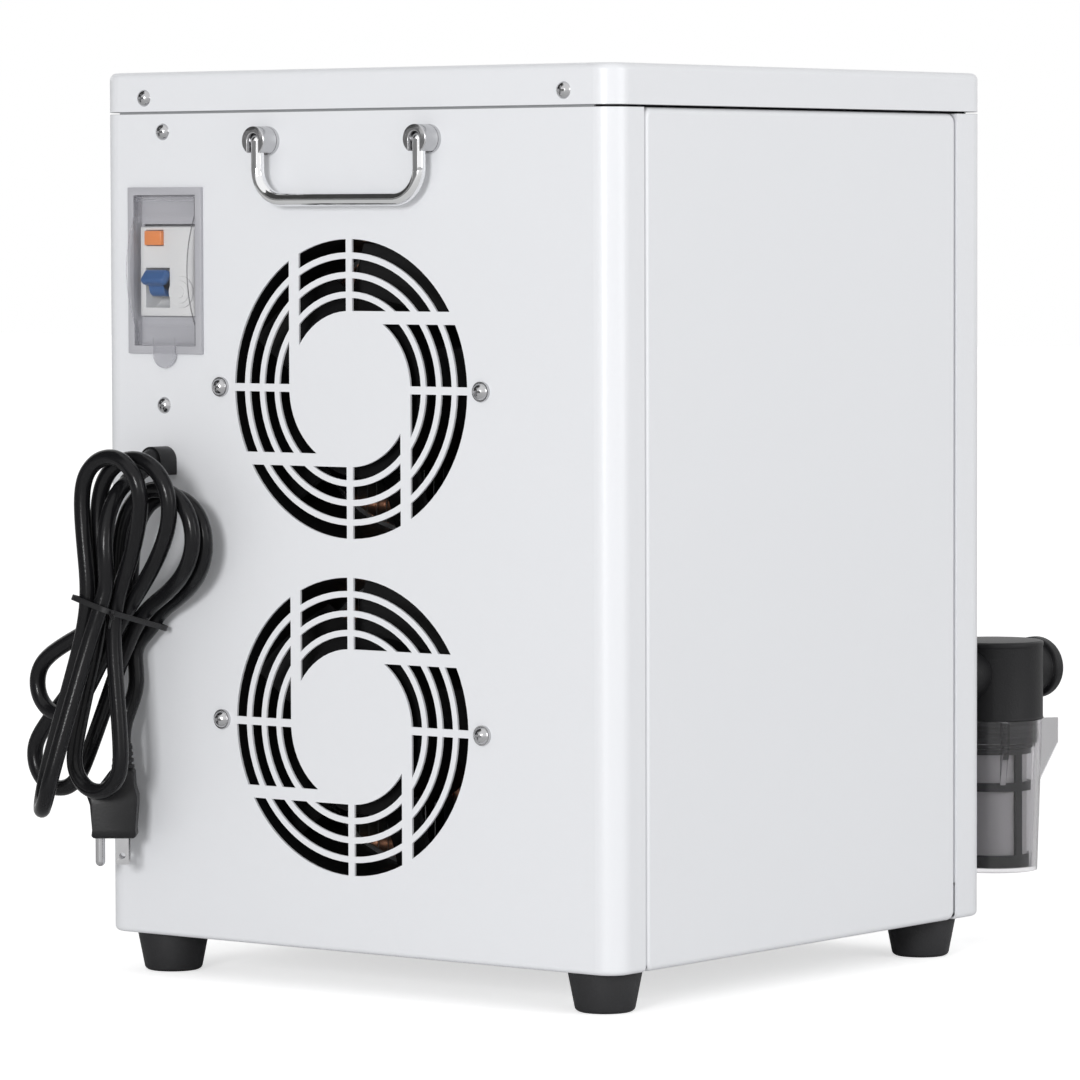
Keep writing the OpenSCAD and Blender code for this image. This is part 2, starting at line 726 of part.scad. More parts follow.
// Top-hat rail behind the breaker
module din_rail() {
    color("silver") on_fan_face(window_x, window_z) {
        translate([-rail_len / 2, -rail_h / 2, -breaker_depth]) cube([rail_len, rail_h, rail_t - fit]);
        difference() {
            translate([-rail_len / 2, -rail_web_h / 2, -breaker_depth - rail_depth]) cube([rail_len, rail_web_h, rail_depth]);
            translate([-rail_len / 2 - cut, rail_t - rail_web_h / 2, rail_t - breaker_depth - rail_depth])
                cube([rail_len + 2 * cut, rail_web_h - 2 * rail_t, rail_depth]);
        }
    }
}
rail_len = 40;
rail_web_h = 25;
rail_depth = 7.5;

// Bent strap that carries the rail: two tabs on the panel, two arms and a back
module breaker_bracket() {
    back = breaker_depth + rail_depth;
    color("silver") difference() {
        union() {
            translate([bracket_screw_x - bracket_w / 2, inner_y + back - sheet_t, bracket_bottom_z + bracket_tab])
                cube([bracket_w, bracket_t, bracket_top_z - bracket_bottom_z - 2 * bracket_tab]);
            for (z = [bracket_top_z - bracket_tab - bracket_t, bracket_bottom_z + bracket_tab])
                translate([bracket_screw_x - bracket_w / 2, inner_y, z]) cube([bracket_w, back - sheet_t + bracket_t, bracket_t]);
            for (z = [bracket_top_z - bracket_tab - bracket_t, bracket_bottom_z - bracket_tab])
                translate([bracket_screw_x - bracket_w / 2, inner_y, z]) cube([bracket_w, bracket_t, 2 * bracket_tab + bracket_t]);
        }
        for (z = [bracket_top_z, bracket_bottom_z]) on_fan_face(bracket_screw_x, z) face_hole(screw_d + hole_fit);
    }
}
bracket_w = 20;
bracket_t = 1.5;
bracket_tab = 6;

// Fan housing with two lugs, a motor can on three struts and the shaft
module fan_frame() {
    inner_r = fan_blade_d / 2 + blade_gap;
    difference() {
        union() {
            translate([0, 0, -fan_depth]) cylinder(h = fan_depth, d = fan_body_d, $fn = 96);
            for (z = [-fan_lug_t, -fan_depth]) translate([-fan_screw_pitch / 2, -fan_lug_r, z])
                cube([fan_screw_pitch, 2 * fan_lug_r, fan_lug_t]);
            for (s = [-1, 1], z = [-fan_lug_t, -fan_depth]) translate([s * fan_screw_pitch / 2, 0, z])
                cylinder(h = fan_lug_t, r = fan_lug_r);
        }
        translate([0, 0, -fan_depth - cut]) cylinder(h = fan_depth + 2 * cut, r = inner_r, $fn = 96);
        for (s = [-1, 1]) translate([s * fan_screw_pitch / 2, 0, -fan_depth - cut])
            cylinder(h = fan_depth + 2 * cut, d = screw_d + hole_fit);
    }
    translate([0, 0, -fan_depth]) {
        cylinder(h = motor_h, d = fan_hub_d - 2 * motor_step);
        for (a = [90:120:330]) rotate(a) translate([0, -strut_w / 2, 0]) cube([inner_r + fit, strut_w, strut_t]);
        cylinder(h = motor_h + shaft_len, d = shaft_d);
    }
}
fan_lug_r = 6;
motor_h = 14;
motor_step = 2;
strut_w = 8;
strut_t = 4;
shaft_d = 6;
shaft_len = 18;

// Rotor: a cup hub on the shaft with tilted blades
module fan_rotor() {
    hub_z = motor_h + fit - fan_depth;
    blade_z = hub_z + rotor_h / 2;
    difference() {
        translate([0, 0, hub_z]) cylinder(h = rotor_h, d = fan_hub_d);
        translate([0, 0, hub_z - cut]) cylinder(h = shaft_len + cut + fit, d = shaft_d + 2 * run_fit);
    }
    intersection() {
        difference() {
            translate([0, 0, hub_z]) cylinder(h = rotor_h, d = fan_blade_d);
            translate([0, 0, hub_z - cut]) cylinder(h = rotor_h + 2 * cut, d = fan_hub_d - blade_root);
        }
        for (i = [0:fan_blades - 1]) rotate(i * 360 / fan_blades)
            translate([fan_hub_d / 4 + fan_blade_d / 4, 0, blade_z]) rotate([blade_tilt, 0, 0])
                cube([fan_blade_d / 2 - fan_hub_d / 2 + blade_root * 2, blade_chord, blade_t], center = true);
    }
}
rotor_h = 30;
blade_root = 2;
blade_tilt = 32;
blade_chord = 48;
blade_t = 2;

module fan_at(z) { on_fan_face(0, z) translate([0, 0, -sheet_t]) children(); }
module upper_fan_frame() { color("dimgray") fan_at(fan_zs[1]) fan_frame(); }
module lower_fan_frame() { color("dimgray") fan_at(fan_zs[0]) fan_frame(); }
module upper_fan_rotor() { color("dimgray") fan_at(fan_zs[1]) fan_rotor(); }
module lower_fan_rotor() { color("dimgray") fan_at(fan_zs[0]) fan_rotor(); }

// Sheet duct from the fans to the condenser, standing on the tray
shroud_y = inner_y + fan_depth;
shroud_w = 190;
shroud_d = 47;
shroud_head = 12;
shroud_top = lower_fan_z + fan_step + fan_body_d / 2 + shroud_head;
module fan_shroud() {
    color("silver") difference() {
        translate([-shroud_w / 2, shroud_y, tray_top]) cube([shroud_w, shroud_d, shroud_top - tray_top]);
        translate([sheet_t - shroud_w / 2, shroud_y + sheet_t, tray_top + sheet_t])
            cube([shroud_w - 2 * sheet_t, shroud_d, shroud_top - tray_top - 2 * sheet_t]);
        for (z = fan_zs) on_fan_face(0, z) translate([0, 0, -sheet_t - fan_depth - 2 * hole_reach])
            cylinder(h = 4 * hole_reach, d = fan_blade_d);
    }
}

// Condenser core: fins across two rows of tubes
tube_d = 9.5;
tube_pitch = 28;
tube_levels = 12;
tube_rows = 2;
row_step = 22;
fin_count = 24;
fin_t = 0.4;
core_w = 138;
core_d = 44;
core_z = tray_top + sheet_t;
core_y = shroud_y + sheet_t + fit;
core_h = tube_levels * tube_pitch;
tube_straight = 3;

function tube_z(i) = core_z + (i + 0.5) * tube_pitch;
function tube_y(j) = core_y + core_d / 2 + (j - (tube_rows - 1) / 2) * row_step;

module condenser_fins() {
    color("silver") for (i = [0:fin_count - 1])
        translate([(i / (fin_count - 1) - 0.5) * (core_w - fin_t) - fin_t / 2, 0, 0]) rotate([90, 0, 90])
            linear_extrude(height = fin_t) difference() {
                translate([core_y, core_z]) square([core_d, core_h]);
                for (j = [0:tube_rows - 1], k = [0:tube_levels - 1])
                    translate([tube_y(j), tube_z(k)]) circle(d = tube_d + 2 * run_fit, $fn = 24);
            }
}

// Two serpentines of tube through the fins
module condenser_tubes() {
    tube_end = core_w / 2 + tube_straight;
    color("peru") for (j = [0:tube_rows - 1]) {
        for (k = [0:tube_levels - 1]) translate([-tube_end, tube_y(j), tube_z(k)]) rotate([0, 90, 0])
            cylinder(h = 2 * tube_end, d = tube_d, $fn = 24);
        for (k = [0:tube_levels - 2]) {
            s = k % 2 == 0 ? 1 : -1;
            translate([s * tube_end, tube_y(j), (tube_z(k) + tube_z(k + 1)) / 2]) rotate([90, s * 90 - 90, 0])
                rotate([0, 0, -90]) rotate_extrude(angle = 180, $fn = 32) translate([tube_pitch / 2, 0]) circle(d = tube_d, $fn = 24);
        }
    }
}

// Hermetic compressor with domed ends, and its suction accumulator
comp_share = 0.195;
comp_x = cab_w * comp_share;
comp_back = 176;
comp_y = face_y + comp_back;
comp_r = 50;
comp_h = 190;
comp_dome = 24;
comp_port_r = 9;
mount_rubber_h = 12;
comp_z = tray_top + mount_rubber_h;
mount_r = 62;
mount_bolt_d = 6;
mount_angles = [30, 150, 270];
plate_t = 3;
acc_r = 17;
acc_h = 96;
module compressor_foot_place(a) {
    translate([comp_x, comp_y, tray_top]) rotate(a) translate([mount_r, 0, 0]) children();
}
module compressor() {
    color("dimgray") {
        translate([comp_x, comp_y, comp_z]) {
            linear_extrude(plate_t) difference() {
                union() {
                    circle(r = comp_r);
                    for (a = mount_angles) rotate(a) {
                        translate([0, -mount_pad_r]) square([mount_r, 2 * mount_pad_r]);
                        translate([mount_r, 0]) circle(r = mount_pad_r);
                    }
                }
                for (a = mount_angles) rotate(a) translate([mount_r, 0]) circle(d = mount_bolt_d + 2 * hole_fit);
            }
            translate([0, 0, plate_t]) {
                cylinder(h = comp_h - comp_dome, r = comp_r);
                translate([0, 0, comp_h - comp_dome]) cylinder(h = comp_dome, r1 = comp_r, r2 = comp_port_r * 2);
            }
            translate([comp_r + acc_r + acc_gap, 0, plate_t + acc_up]) {
                cylinder(h = acc_h, r = acc_r);
                translate([-acc_r - acc_gap - plate_t, -acc_band / 2, acc_h / 2])
                    cube([acc_r + acc_gap + plate_t, acc_band, acc_band]);
            }
        }
    }
}
mount_pad_r = 9;
acc_gap = 4;
acc_up = 40;
acc_band = 10;

// Rubber grommets under the compressor's plate, each with its bolt
module compressor_mounts() {
    color("black") for (a = mount_angles) compressor_foot_place(a) {
        difference() {
            cylinder(h = mount_rubber_h, r = mount_pad_r);
            translate([0, 0, -cut]) cylinder(h = mount_rubber_h + 2 * cut, d = mount_bolt_d + 2 * run_fit);
        }
        translate([0, 0, -tray_t]) cylinder(h = tray_t + mount_rubber_h + plate_t + mount_bolt_d, d = mount_bolt_d);
        translate([0, 0, mount_rubber_h + plate_t]) washer(mount_pad_r * 2, mount_bolt_d - cut, tray_t);
    }
}

// Upright titanium-coil evaporator in an insulated shell with two end caps
evap_share = 0.258;
evap_x = -cab_w * evap_share;
evap_back = 166;
evap_y = face_y + evap_back;
evap_r = 46;
evap_h = 262;
evap_wall = 6;
evap_cap_t = 8;
nozzle_len = 12;
nozzle_up = 40;
module evaporator_shell() {
    color("dimgray") translate([evap_x, evap_y, tray_top]) difference() {
        union() {
            cylinder(h = evap_h, r = evap_r);
            for (z = [nozzle_up, evap_h - nozzle_up]) translate([0, 0, z]) rotate([-90, 0, 0])
                cylinder(h = evap_r + nozzle_len, r = tail_r);
        }
        translate([0, 0, evap_cap_t]) cylinder(h = evap_h - 2 * evap_cap_t, r = evap_r - evap_wall);
        for (z = [nozzle_up, evap_h - nozzle_up]) translate([0, 0, z]) rotate([-90, 0, 0])
            cylinder(h = evap_r + nozzle_len + cut, r = port_bore_r);
        for (x = [0, coil_r]) translate([x, 0, evap_h - evap_cap_t - cut])
            cylinder(h = evap_cap_t + 2 * cut, d = line_d + 2 * run_fit);
    }
}

// Helix of tube, swept ring by ring
function helix_points(r, pitch, turns, per_turn) =
    [for (i = [0:turns * per_turn]) [r * cos(i * 360 / per_turn), r * sin(i * 360 / per_turn), i * pitch / per_turn]];

// Frames along a route: each ring lies square to the direction between its neighbours
function unit(v) = v / norm(v);
function heading(p, i) = unit(p[min(i + 1, len(p) - 1)] - p[max(i - 1, 0)]);
function side_of(h, last) = unit(last - (last * h) * h);
function sides(p, i, last, out) =
    i == len(p) ? out : let (s = side_of(heading(p, i), last)) sides(p, i + 1, s, concat(out, [s]));
function ring(c, h, s, r, n) =
    let (t = cross(h, s)) [for (k = [0:n - 1]) c + r * (cos(k * 360 / n) * s + sin(k * 360 / n) * t)];

module swept_tube(p, d, n, first) {
    ss = sides(p, 0, first, []);
    rings = [for (i = [0:len(p) - 1]) ring(p[i], heading(p, i), ss[i], d / 2, n)];
    pts = [for (r = rings) each r];
    last = (len(p) - 1) * n;
    faces = concat(
        [for (i = [0:len(p) - 2], k = [0:n - 1]) [i * n + k, i * n + (k + 1) % n, (i + 1) * n + k]],
        [for (i = [0:len(p) - 2], k = [0:n - 1]) [i * n + (k + 1) % n, (i + 1) * n + (k + 1) % n, (i + 1) * n + k]],
        [for (k = [1:n - 2]) [0, k + 1, k]],
        [for (k = [1:n - 2]) [last, last + k, last + k + 1]]);
    polyhedron(points = pts, faces = faces);
}

coil_r = 24;
coil_pitch = 24;
coil_turns = 9;
module evaporator_coil() {
    color("lightsteelblue") translate([evap_x, evap_y, tray_top + evap_cap_t + tube_d / 2 + fit])
        swept_tube(helix_points(coil_r, coil_pitch, coil_turns, 16), tube_d, 6, [1, 0, 0]);
}

drier_x = -8;
drier_back = 226;
drier_y = face_y + drier_back;
drier_z = 120;
drier_r = 10;
drier_h = 86;
module filter_drier() {
    color("peru") translate([drier_x, drier_y, drier_z]) {
        cylinder(h = drier_h, r = drier_r);
        translate([0, 0, -drier_r]) cylinder(h = drier_r, r1 = line_d / 2, r2 = drier_r);
        translate([0, 0, drier_h]) cylinder(h = drier_r, r1 = drier_r, r2 = line_d / 2);
    }
}
line_d = 6.35;

// Discharge, liquid and suction lines, with a small header on each end of the condenser
header_out = 12;
line_gap = 10;
liquid_up = 16;
suction_up = 46;
discharge_up = 88;
module refrigerant_lines() {
    comp_top = comp_z + plate_t + comp_h;
    evap_top = tray_top + evap_h;
    low_z = tube_z(0);
    high_z = tube_z(tube_levels - 1);
    header_x = -core_w / 2 - tube_straight - header_out;
    behind_y = shroud_y + shroud_d + line_gap;
    coil_z = tray_top + evap_cap_t + tube_d / 2 + fit;
    coil_top = coil_z + coil_pitch * coil_turns;
    color("peru") {
        pipe([[comp_x, comp_y, comp_top], [comp_x, comp_y, evap_top + discharge_up],
              [header_x, comp_y, evap_top + discharge_up], [header_x, behind_y, evap_top + discharge_up],
              [header_x, behind_y, high_z], [header_x, tube_y(0), high_z],
              [header_x + header_out, tube_y(0), high_z]], line_d);
        pipe([[header_x, tube_y(1), high_z], [header_x + header_out, tube_y(1), high_z]], line_d);
        pipe([[header_x + header_out, tube_y(0), low_z], [header_x, tube_y(0), low_z],
              [header_x, behind_y, low_z], [drier_x, behind_y, low_z],
              [drier_x, drier_y, low_z], [drier_x, drier_y, drier_z - drier_r]], line_d);
        pipe([[header_x, tube_y(1), low_z], [header_x + header_out, tube_y(1), low_z]], line_d);
        pipe([[drier_x, drier_y, drier_z + drier_h + drier_r], [drier_x, drier_y, evap_top + liquid_up],
              [evap_x + coil_r, drier_y, evap_top + liquid_up], [evap_x + coil_r, evap_y, evap_top + liquid_up],
              [evap_x + coil_r, evap_y, coil_top + tube_d / 2 + fit]], line_d);
        pipe([[evap_x + coil_r - tube_d / 2 - fit, evap_y, coil_z], [evap_x, evap_y, coil_z],
              [evap_x, evap_y, evap_top + suction_up],
              [comp_x + comp_r + acc_r + acc_gap, evap_y, evap_top + suction_up],
              [comp_x + comp_r + acc_r + acc_gap, comp_y, evap_top + suction_up],
              [comp_x + comp_r + acc_r + acc_gap, comp_y, comp_z + plate_t + acc_up + acc_h]], line_d);
    }
}

// Circulation pump lying along x: motor, volute, inlet and outlet tails, and a saddle on the tray
pump_x = 84;
pump_front = 56.5;
pump_up = 40;
pump_y = front_y - pump_front;
pump_z = tray_top + pump_up;
volute_r = 28;
volute_w = 28;
motor_r = 23;
motor_len = 60;
tail_len = 14;
saddle_w = 36;
module pump() {
    color("dimgray") translate([pump_x, pump_y, pump_z]) difference() {
        union() {
            rotate([0, 90, 0]) cylinder(h = volute_w, r = volute_r, center = true);
            rotate([0, -90, 0]) cylinder(h = volute_w / 2 + motor_len, r = motor_r);
            rotate([0, 90, 0]) cylinder(h = volute_w / 2 + tail_len, r = tail_r);
            cylinder(h = volute_r + tail_len, r = tail_r);
            translate([-volute_w / 2 - motor_len, -saddle_w / 2, tray_top - pump_z])
                cube([motor_len, saddle_w, pump_z - tray_top - motor_r / 2]);
        }
        rotate([0, 90, 0]) cylinder(h = volute_w / 2 + tail_len + cut, r = port_bore_r);
        cylinder(h = volute_r + tail_len + cut, r = port_bore_r);
    }
}

// Hoses pushed over the tails: filter to pump, pump to evaporator, evaporator to outlet
hose_d = 28;
hose_drop_y = pump_y;
module hose(points) {
    difference() {
        pipe(points, hose_d);
        hose_socket(points[0], points[1]);
        hose_socket(points[len(points) - 1], points[len(points) - 2]);
    }
}
module hose_socket(end, next) {
    v = (next - end) / norm(next - end);
    bar(end - cut * v, end + hose_lap * v, 2 * tail_r);
}
hose_lap = 10;
module water_hoses() {
    tail_y = front_y - fitting_in + hose_lap;
    water_low = tray_top + nozzle_up;
    water_high = tray_top + evap_h - nozzle_up;
    nozzle_y = evap_y + evap_r + nozzle_len - hose_lap;
    over_z = pump_z + volute_r + tail_len + hose_d;
    color("gray") {
        hose([[filter_x, tail_y, port_z], [filter_x, hose_drop_y, port_z], [filter_x, hose_drop_y, pump_z],
              [pump_x + volute_w / 2 + tail_len - hose_lap, pump_y, pump_z]]);
        hose([[pump_x, pump_y, pump_z + volute_r + tail_len - hose_lap], [pump_x, pump_y, over_z],
              [evap_x + evap_r, pump_y, over_z], [evap_x + evap_r, pump_y, water_low],
              [evap_x, pump_y, water_low], [evap_x, nozzle_y, water_low]]);
        hose([[evap_x, nozzle_y, water_high], [evap_x, pump_y, water_high], [-filter_x, pump_y, water_high],
              [-filter_x, pump_y, port_z], [-filter_x, tail_y, port_z]]);
    }
}

// Bulkhead fitting through the front panel: flange and spout outside, hexagon nut and tail inside
module bulkhead(spout) {
    difference() {
        union() {
            cylinder(h = fitting_flange_t, r = flange_r);
            cylinder(h = fitting_flange_t + spout, r = port_r);
            if (spout > 0) translate([0, 0, fitting_flange_t + spout - collar_w]) cylinder(h = collar_w, r = collar_r);
            translate([0, 0, -fitting_in]) cylinder(h = fitting_in, r = tail_r);
            translate([0, 0, -sheet_t - fitting_nut_t]) cylinder(h = fitting_nut_t, r = flange_r, $fn = 6);
        }
        translate([0, 0, -fitting_in - cut]) cylinder(h = fitting_in + fitting_flange_t + spout + 2 * cut, r = port_bore_r);
    }
}
fitting_flange_t = 4;
fitting_nut_t = 8;
fitting_in = 30;
flange_r = 17.5;
spout_len = 26;
module inlet_fitting() { color("dimgray") on_front_face(filter_x, port_z) bulkhead(0); }
module outlet_fitting() { color("dimgray") on_front_face(-filter_x, port_z) bulkhead(spout_len); }

// Filter: head with two ports along y, and a clear bowl screwed on from below
filter_y = front_y + filter_out;
head_top = port_z + head_rise;
head_low = head_top - head_h;
module at_filter(z) { translate([filter_x, filter_y, z]) children(); }

module filter_head() {
    color("dimgray") difference() {
        union() {
            at_filter(head_low) cylinder(h = head_h, r = head_r);
            at_filter(head_low - spigot_h) cylinder(h = spigot_h, r = spigot_r);
            at_filter(port_z) rotate([90, 0, 0]) cylinder(h = filter_out - fitting_flange_t, r = port_r);
            at_filter(port_z) rotate([-90, 0, 0]) cylinder(h = port_reach, r = port_r);
            at_filter(port_z) rotate([-90, 0, 0]) translate([0, 0, port_reach - collar_w]) cylinder(h = collar_w, r = collar_r);
        }
        at_filter(port_z) rotate([90, 0, 0]) cylinder(h = filter_out + cut, r = port_bore_r);
        at_filter(port_z) rotate([-90, 0, 0]) cylinder(h = port_reach + cut, r = port_bore_r);
        at_filter(head_low - spigot_h - cut) cylinder(h = spigot_h + head_h / 2, r = spigot_bore_r);
    }
}
spigot_h = 12;
thread_gap = 0.4;
spigot_r = bowl_r - bowl_wall - thread_gap;
spigot_bore_r = 15;

// Clear bowl with four grip wings
module filter_bowl() {
    bowl_top = head_low - fit;
    foot_z = head_low - bowl_len;
    color("lightgray", 0.5) at_filter(0) difference() {
        union() {
            translate([0, 0, foot_z]) cylinder(h = bowl_top - foot_z, r1 = bowl_foot_r, r2 = bowl_r);
            for (a = [45:90:315]) rotate(a) rotate([90, 0, 0]) linear_extrude(height = wing_t, center = true)
                polygon([[bowl_r / 2, bowl_top], [wing_reach, bowl_top], [wing_reach, bowl_top - wing_h],
                         [bowl_r - bowl_wall, bowl_top - wing_h - wing_taper], [bowl_r / 2, bowl_top - wing_h - wing_taper]]);
        }
        translate([0, 0, foot_z + bowl_wall])
            cylinder(h = bowl_top - foot_z, r1 = bowl_foot_r - bowl_wall, r2 = bowl_r - bowl_wall);
        translate([0, 0, bowl_top - spigot_h - fit]) cylinder(h = spigot_h + cut, r = spigot_r + thread_gap);
    }
}
wing_t = 3;
wing_h = 13;
wing_taper = 22;

module bowl_seal() {
    color("black") at_filter(head_low - spigot_h) rotate_extrude() translate([spigot_r - seal_d, -seal_d / 2 - fit]) circle(d = seal_d);
}
seal_d = 2.4;

// Strainer: end rings, a middle ring and four bars, with a mesh sleeve inside them
strainer_r = 19.4;
strainer_top = head_low - spigot_h - seal_d - 2 * fit;
strainer_low = head_low - bowl_len + bowl_wall + fit;
module strainer_cage() {
    color("dimgray") at_filter(0) {
        mid_z = strainer_low + cage_mid_share * (strainer_top - strainer_low) - cage_mid_h / 2;
        for (ring = [[strainer_low, cage_foot_h], [mid_z, cage_mid_h], [strainer_top - cage_top_h, cage_top_h]])
            translate([0, 0, ring[0]]) difference() {
                cylinder(h = ring[1], r = strainer_r);
                translate([0, 0, -cut]) cylinder(h = ring[1] + 2 * cut, r = strainer_r - cage_t);
            }
        for (a = [-14:90:256]) rotate(a) translate([strainer_r - cage_t, -cage_bar_w / 2, strainer_low])
            cube([cage_t - fit, cage_bar_w, strainer_top - strainer_low]);
    }
}
cage_foot_h = 6.2;
cage_mid_h = 4.5;
cage_mid_share = 0.68;
cage_top_h = 2.8;
cage_t = 2;
cage_bar_w = 4;

module strainer_mesh() {
    color("gray") at_filter(strainer_low) difference() {
        cylinder(h = strainer_top - strainer_low, r = strainer_r - cage_t - run_fit);
        translate([0, 0, -cut]) cylinder(h = strainer_top - strainer_low + 2 * cut, r = strainer_r - cage_t - mesh_t);
    }
}
mesh_t = 0.6;

// Circuit board on four spacers behind the front panel, with two relays and a terminal block
board_inset = 51;
board_drop = 102;
board_x = cab_w / 2 - board_inset;
board_z = cab_h - board_drop;
board_w = 84;
board_h = 90;
board_t = 1.6;
board_back = 14;
spacer_d = 6;
spacer_inset = 5;
relay = [20, 16, 28];
terminal = [60, 10, 12];
module control_board() {
    color("seagreen") on_front_face(board_x, board_z) translate([0, 0, -sheet_t]) {
        for (s = [-1, 1], t = [-1, 1])
            translate([s * (board_w / 2 - spacer_inset), t * (board_h / 2 - spacer_inset), -board_back])
                cylinder(h = board_back, d = spacer_d);
        translate([0, 0, -board_back - board_t / 2]) cube([board_w, board_h, board_t], center = true);
        for (s = [-1, 1]) translate([s * relay.x, relay.x / 2, -board_back - board_t - relay.y / 2])
            cube([relay.x, relay.z, relay.y], center = true);
        translate([0, relay.x - board_h / 2, -board_back - board_t - terminal.y / 2])
            cube([terminal.x, terminal.z, terminal.y], center = true);
    }
}

// Display: a thin bezel on the panel and a body through the panel's window
display_deep = 14;
module display_module() {
    color("black") on_front_face(0, display_z) {
        translate([0, 0, display_out / 2]) cube([display_w, display_h, display_out], center = true);
        translate([0, 0, -display_deep / 2])
            cube([display_w - 2 * display_border, display_h - 2 * display_border, display_deep], center = true);
    }
}

// Run capacitor standing on the tray, with two terminals
cap_x = -14;
cap_front = 28.5;
cap_y = front_y - cap_front;
cap_r = 18;
cap_h = 74;
cap_terminal = [6, 1, 9];
module capacitor() {
    color("silver") translate([cap_x, cap_y, tray_top]) {
        cylinder(h = cap_h, r = cap_r);
        for (s = [-1, 1]) translate([s * cap_r / 2 - cap_terminal.x / 2, 0, cap_h]) cube(cap_terminal);
    }
}

// The mains cord's route starts where it leaves the gland; the numbers are eighths of its diameter
route_unit = cord_d / 8;
function cord_at(p) = [gland_x, face_y - gland_len, gland_z] + route_unit * p;

// Uniform cubic spline through a control polygon, and a polygon with its ends run out straight
function spline_at(c, t) =
    let (i = min(floor(t), len(c) - 4), u = t - i)
    (pow(1 - u, 3) * c[i] + (3 * pow(u, 3) - 6 * u * u + 4) * c[i + 1]
     + (-3 * pow(u, 3) + 3 * u * u + 3 * u + 1) * c[i + 2] + pow(u, 3) * c[i + 3]) / 6;
function run_out(p) = let (e = len(p) - 1) concat([2 * p[0] - p[1]], p, [2 * p[e] - p[e - 1]]);
function route(p, rings) =
    let (c = run_out(p)) [for (i = [0:rings]) cord_at(spline_at(c, i * (len(c) - 3) / rings))];

// The hank: four loops below the tie and four above it, each in its own layer
loop_count = 4;
loop_rings = 24;
loop_knots = 18;
waist = [-7, -34, -72];
waist_half = 2.5;
layer_step = 9.2;
layer_sink = 1.6;
low_loops = [[-32.5, -156, 15], [-14, -147, 15], [-46.5, -111, 15], [-56, -148, 16]];
high_loops = [[4, -15, 18], [11, -20, 22], [18.4, -35, 22], [18.5, -38.5, 22]];
low_turns = [-46, 0, 0, 0];
low_shifts = [-6.5, 0, 0, 0];
climb_shares = [0, 0, 0, 0, 0, 0, 0.35, 1];
round_share = 1.109;
tail_drop = [4, 0, 30];

function waist_at(k, side) = waist + [side * waist_half, layer_step * k, -layer_sink * k];
function loop_points(k, s) =
    let (c = s > 0 ? high_loops[k] : low_loops[k],
         turn = s > 0 ? 0 : low_turns[k],
         mid = waist_at(k, 0),
         centre = [c.x, mid.y + (s > 0 ? 0 : low_shifts[k]), c.y],
         out = unit([c.x - mid.x, 0, c.y - mid.z]),
         across = [-out.z * cos(turn), sin(turn), out.x * cos(turn)],
         arc = [for (a = [112.5:-45:-112.5]) centre + c.z * round_share * (cos(a) * out + sin(a) * across)],
         from = waist_at(k, -s),
         to = waist_at(k, s) - [0, 0, s > 0 ? layer_sink : 0],
         all = concat([(from + arc[0]) / 2], arc, [(to + arc[5]) / 2]))
    [for (i = [0:7]) all[i] + [0, s > 0 ? layer_step * climb_shares[i] : 0, 0]];
function hank_knots() = concat(
    [loop_points(0, 1)[7] - [0, layer_step, 0]],
    [for (k = [0:loop_count - 1]) each concat([waist_at(k, 1)], loop_points(k, -1), [waist_at(k, -1)], loop_points(k, 1))],
    [waist_at(loop_count, 1), waist_at(loop_count, 1) - tail_drop]);
hank_controls = hank_knots();
function hank_sample(n) = [for (i = [0:n]) spline_at(hank_controls, i * loop_count * loop_knots / n)];
hank_line = hank_sample(loop_count * loop_rings);
hank_last = len(hank_line) - 1;
end_run = 8;
hank_start = hank_line[0] + end_run * unit(hank_line[0] - hank_line[1]);
hank_end = hank_line[hank_last] + end_run * unit(hank_line[hank_last] - hank_line[hank_last - 1]);

// Least distance between stretches of the hank that are not neighbours, less the cord's diameter
function self_gap(p, apart) =
    min([for (i = [0:len(p) - 1 - apart]) min([for (j = [i + apart:len(p) - 1]) norm(p[i] - p[j])])]) * route_unit - cord_d;

boot_tilt = 30;
boot_len = 20;
boot_heading = [0, -cos(boot_tilt), -sin(boot_tilt)];
lead_start = boot_len * boot_heading;
plug_at = [-20.3, -5, -186.5];
plug_yaw = 37.5;
plug_relief_x = 4.2;
plug_len = 34;
relief_len = 12.5;
tail_last = plug_at + [plug_relief_x * cos(plug_yaw), plug_relief_x * sin(plug_yaw), plug_len + relief_len];

module cord_gland() {
    color("black") {
        on_fan_face(gland_x, gland_z) {
            linear_extrude(height = gland_len) {
                circle(d = gland_w);
                translate([-gland_w / 2, -gland_w / 2]) square([gland_w, gland_w / 2]);
            }
            translate([0, 0, -gland_neck]) cylinder(h = gland_neck, d = gland_neck_d);
        }
        translate(cord_at(-gland_neck / 2 * boot_heading)) rotate([90 + boot_tilt, 0, 0])
            cylinder(h = route_unit * (boot_len + gland_neck / 2), d1 = gland_neck_d, d2 = cord_d + 2 * fit);
    }
}
gland_neck = 8;

module cord_lead() {
    start_way = unit(hank_line[0] - hank_line[1]);
    color("black") swept_tube(route([lead_start, lead_start + end_run * boot_heading, [-0.6, -30.5, -24], [0.2, -34.3, -37],
        [1, -34.6, -48], hank_start + end_run * start_way, hank_start], 24), cord_d, 8, [1, 0, 0]);
}

module cord_hank() {
    echo(least_gap_in_hank = self_gap(hank_sample(loop_count * loop_knots * 4), 20));
    color("black") swept_tube([for (p = concat([hank_start], hank_line, [hank_end])) cord_at(p)], cord_d, 6, [1, 0, 0]);
}

module cord_tail() {
    end_way = unit(hank_line[hank_last] - hank_line[hank_last - 1]);
    color("black") swept_tube(route([hank_end, hank_end + 10 * end_way, [-10.5, 2.2, -109], [-14, 1, -120],
        [-16.2, -0.8, -127], tail_last + [0, 0, 6], tail_last], 24), cord_d, 8, [1, 0, 0]);
}

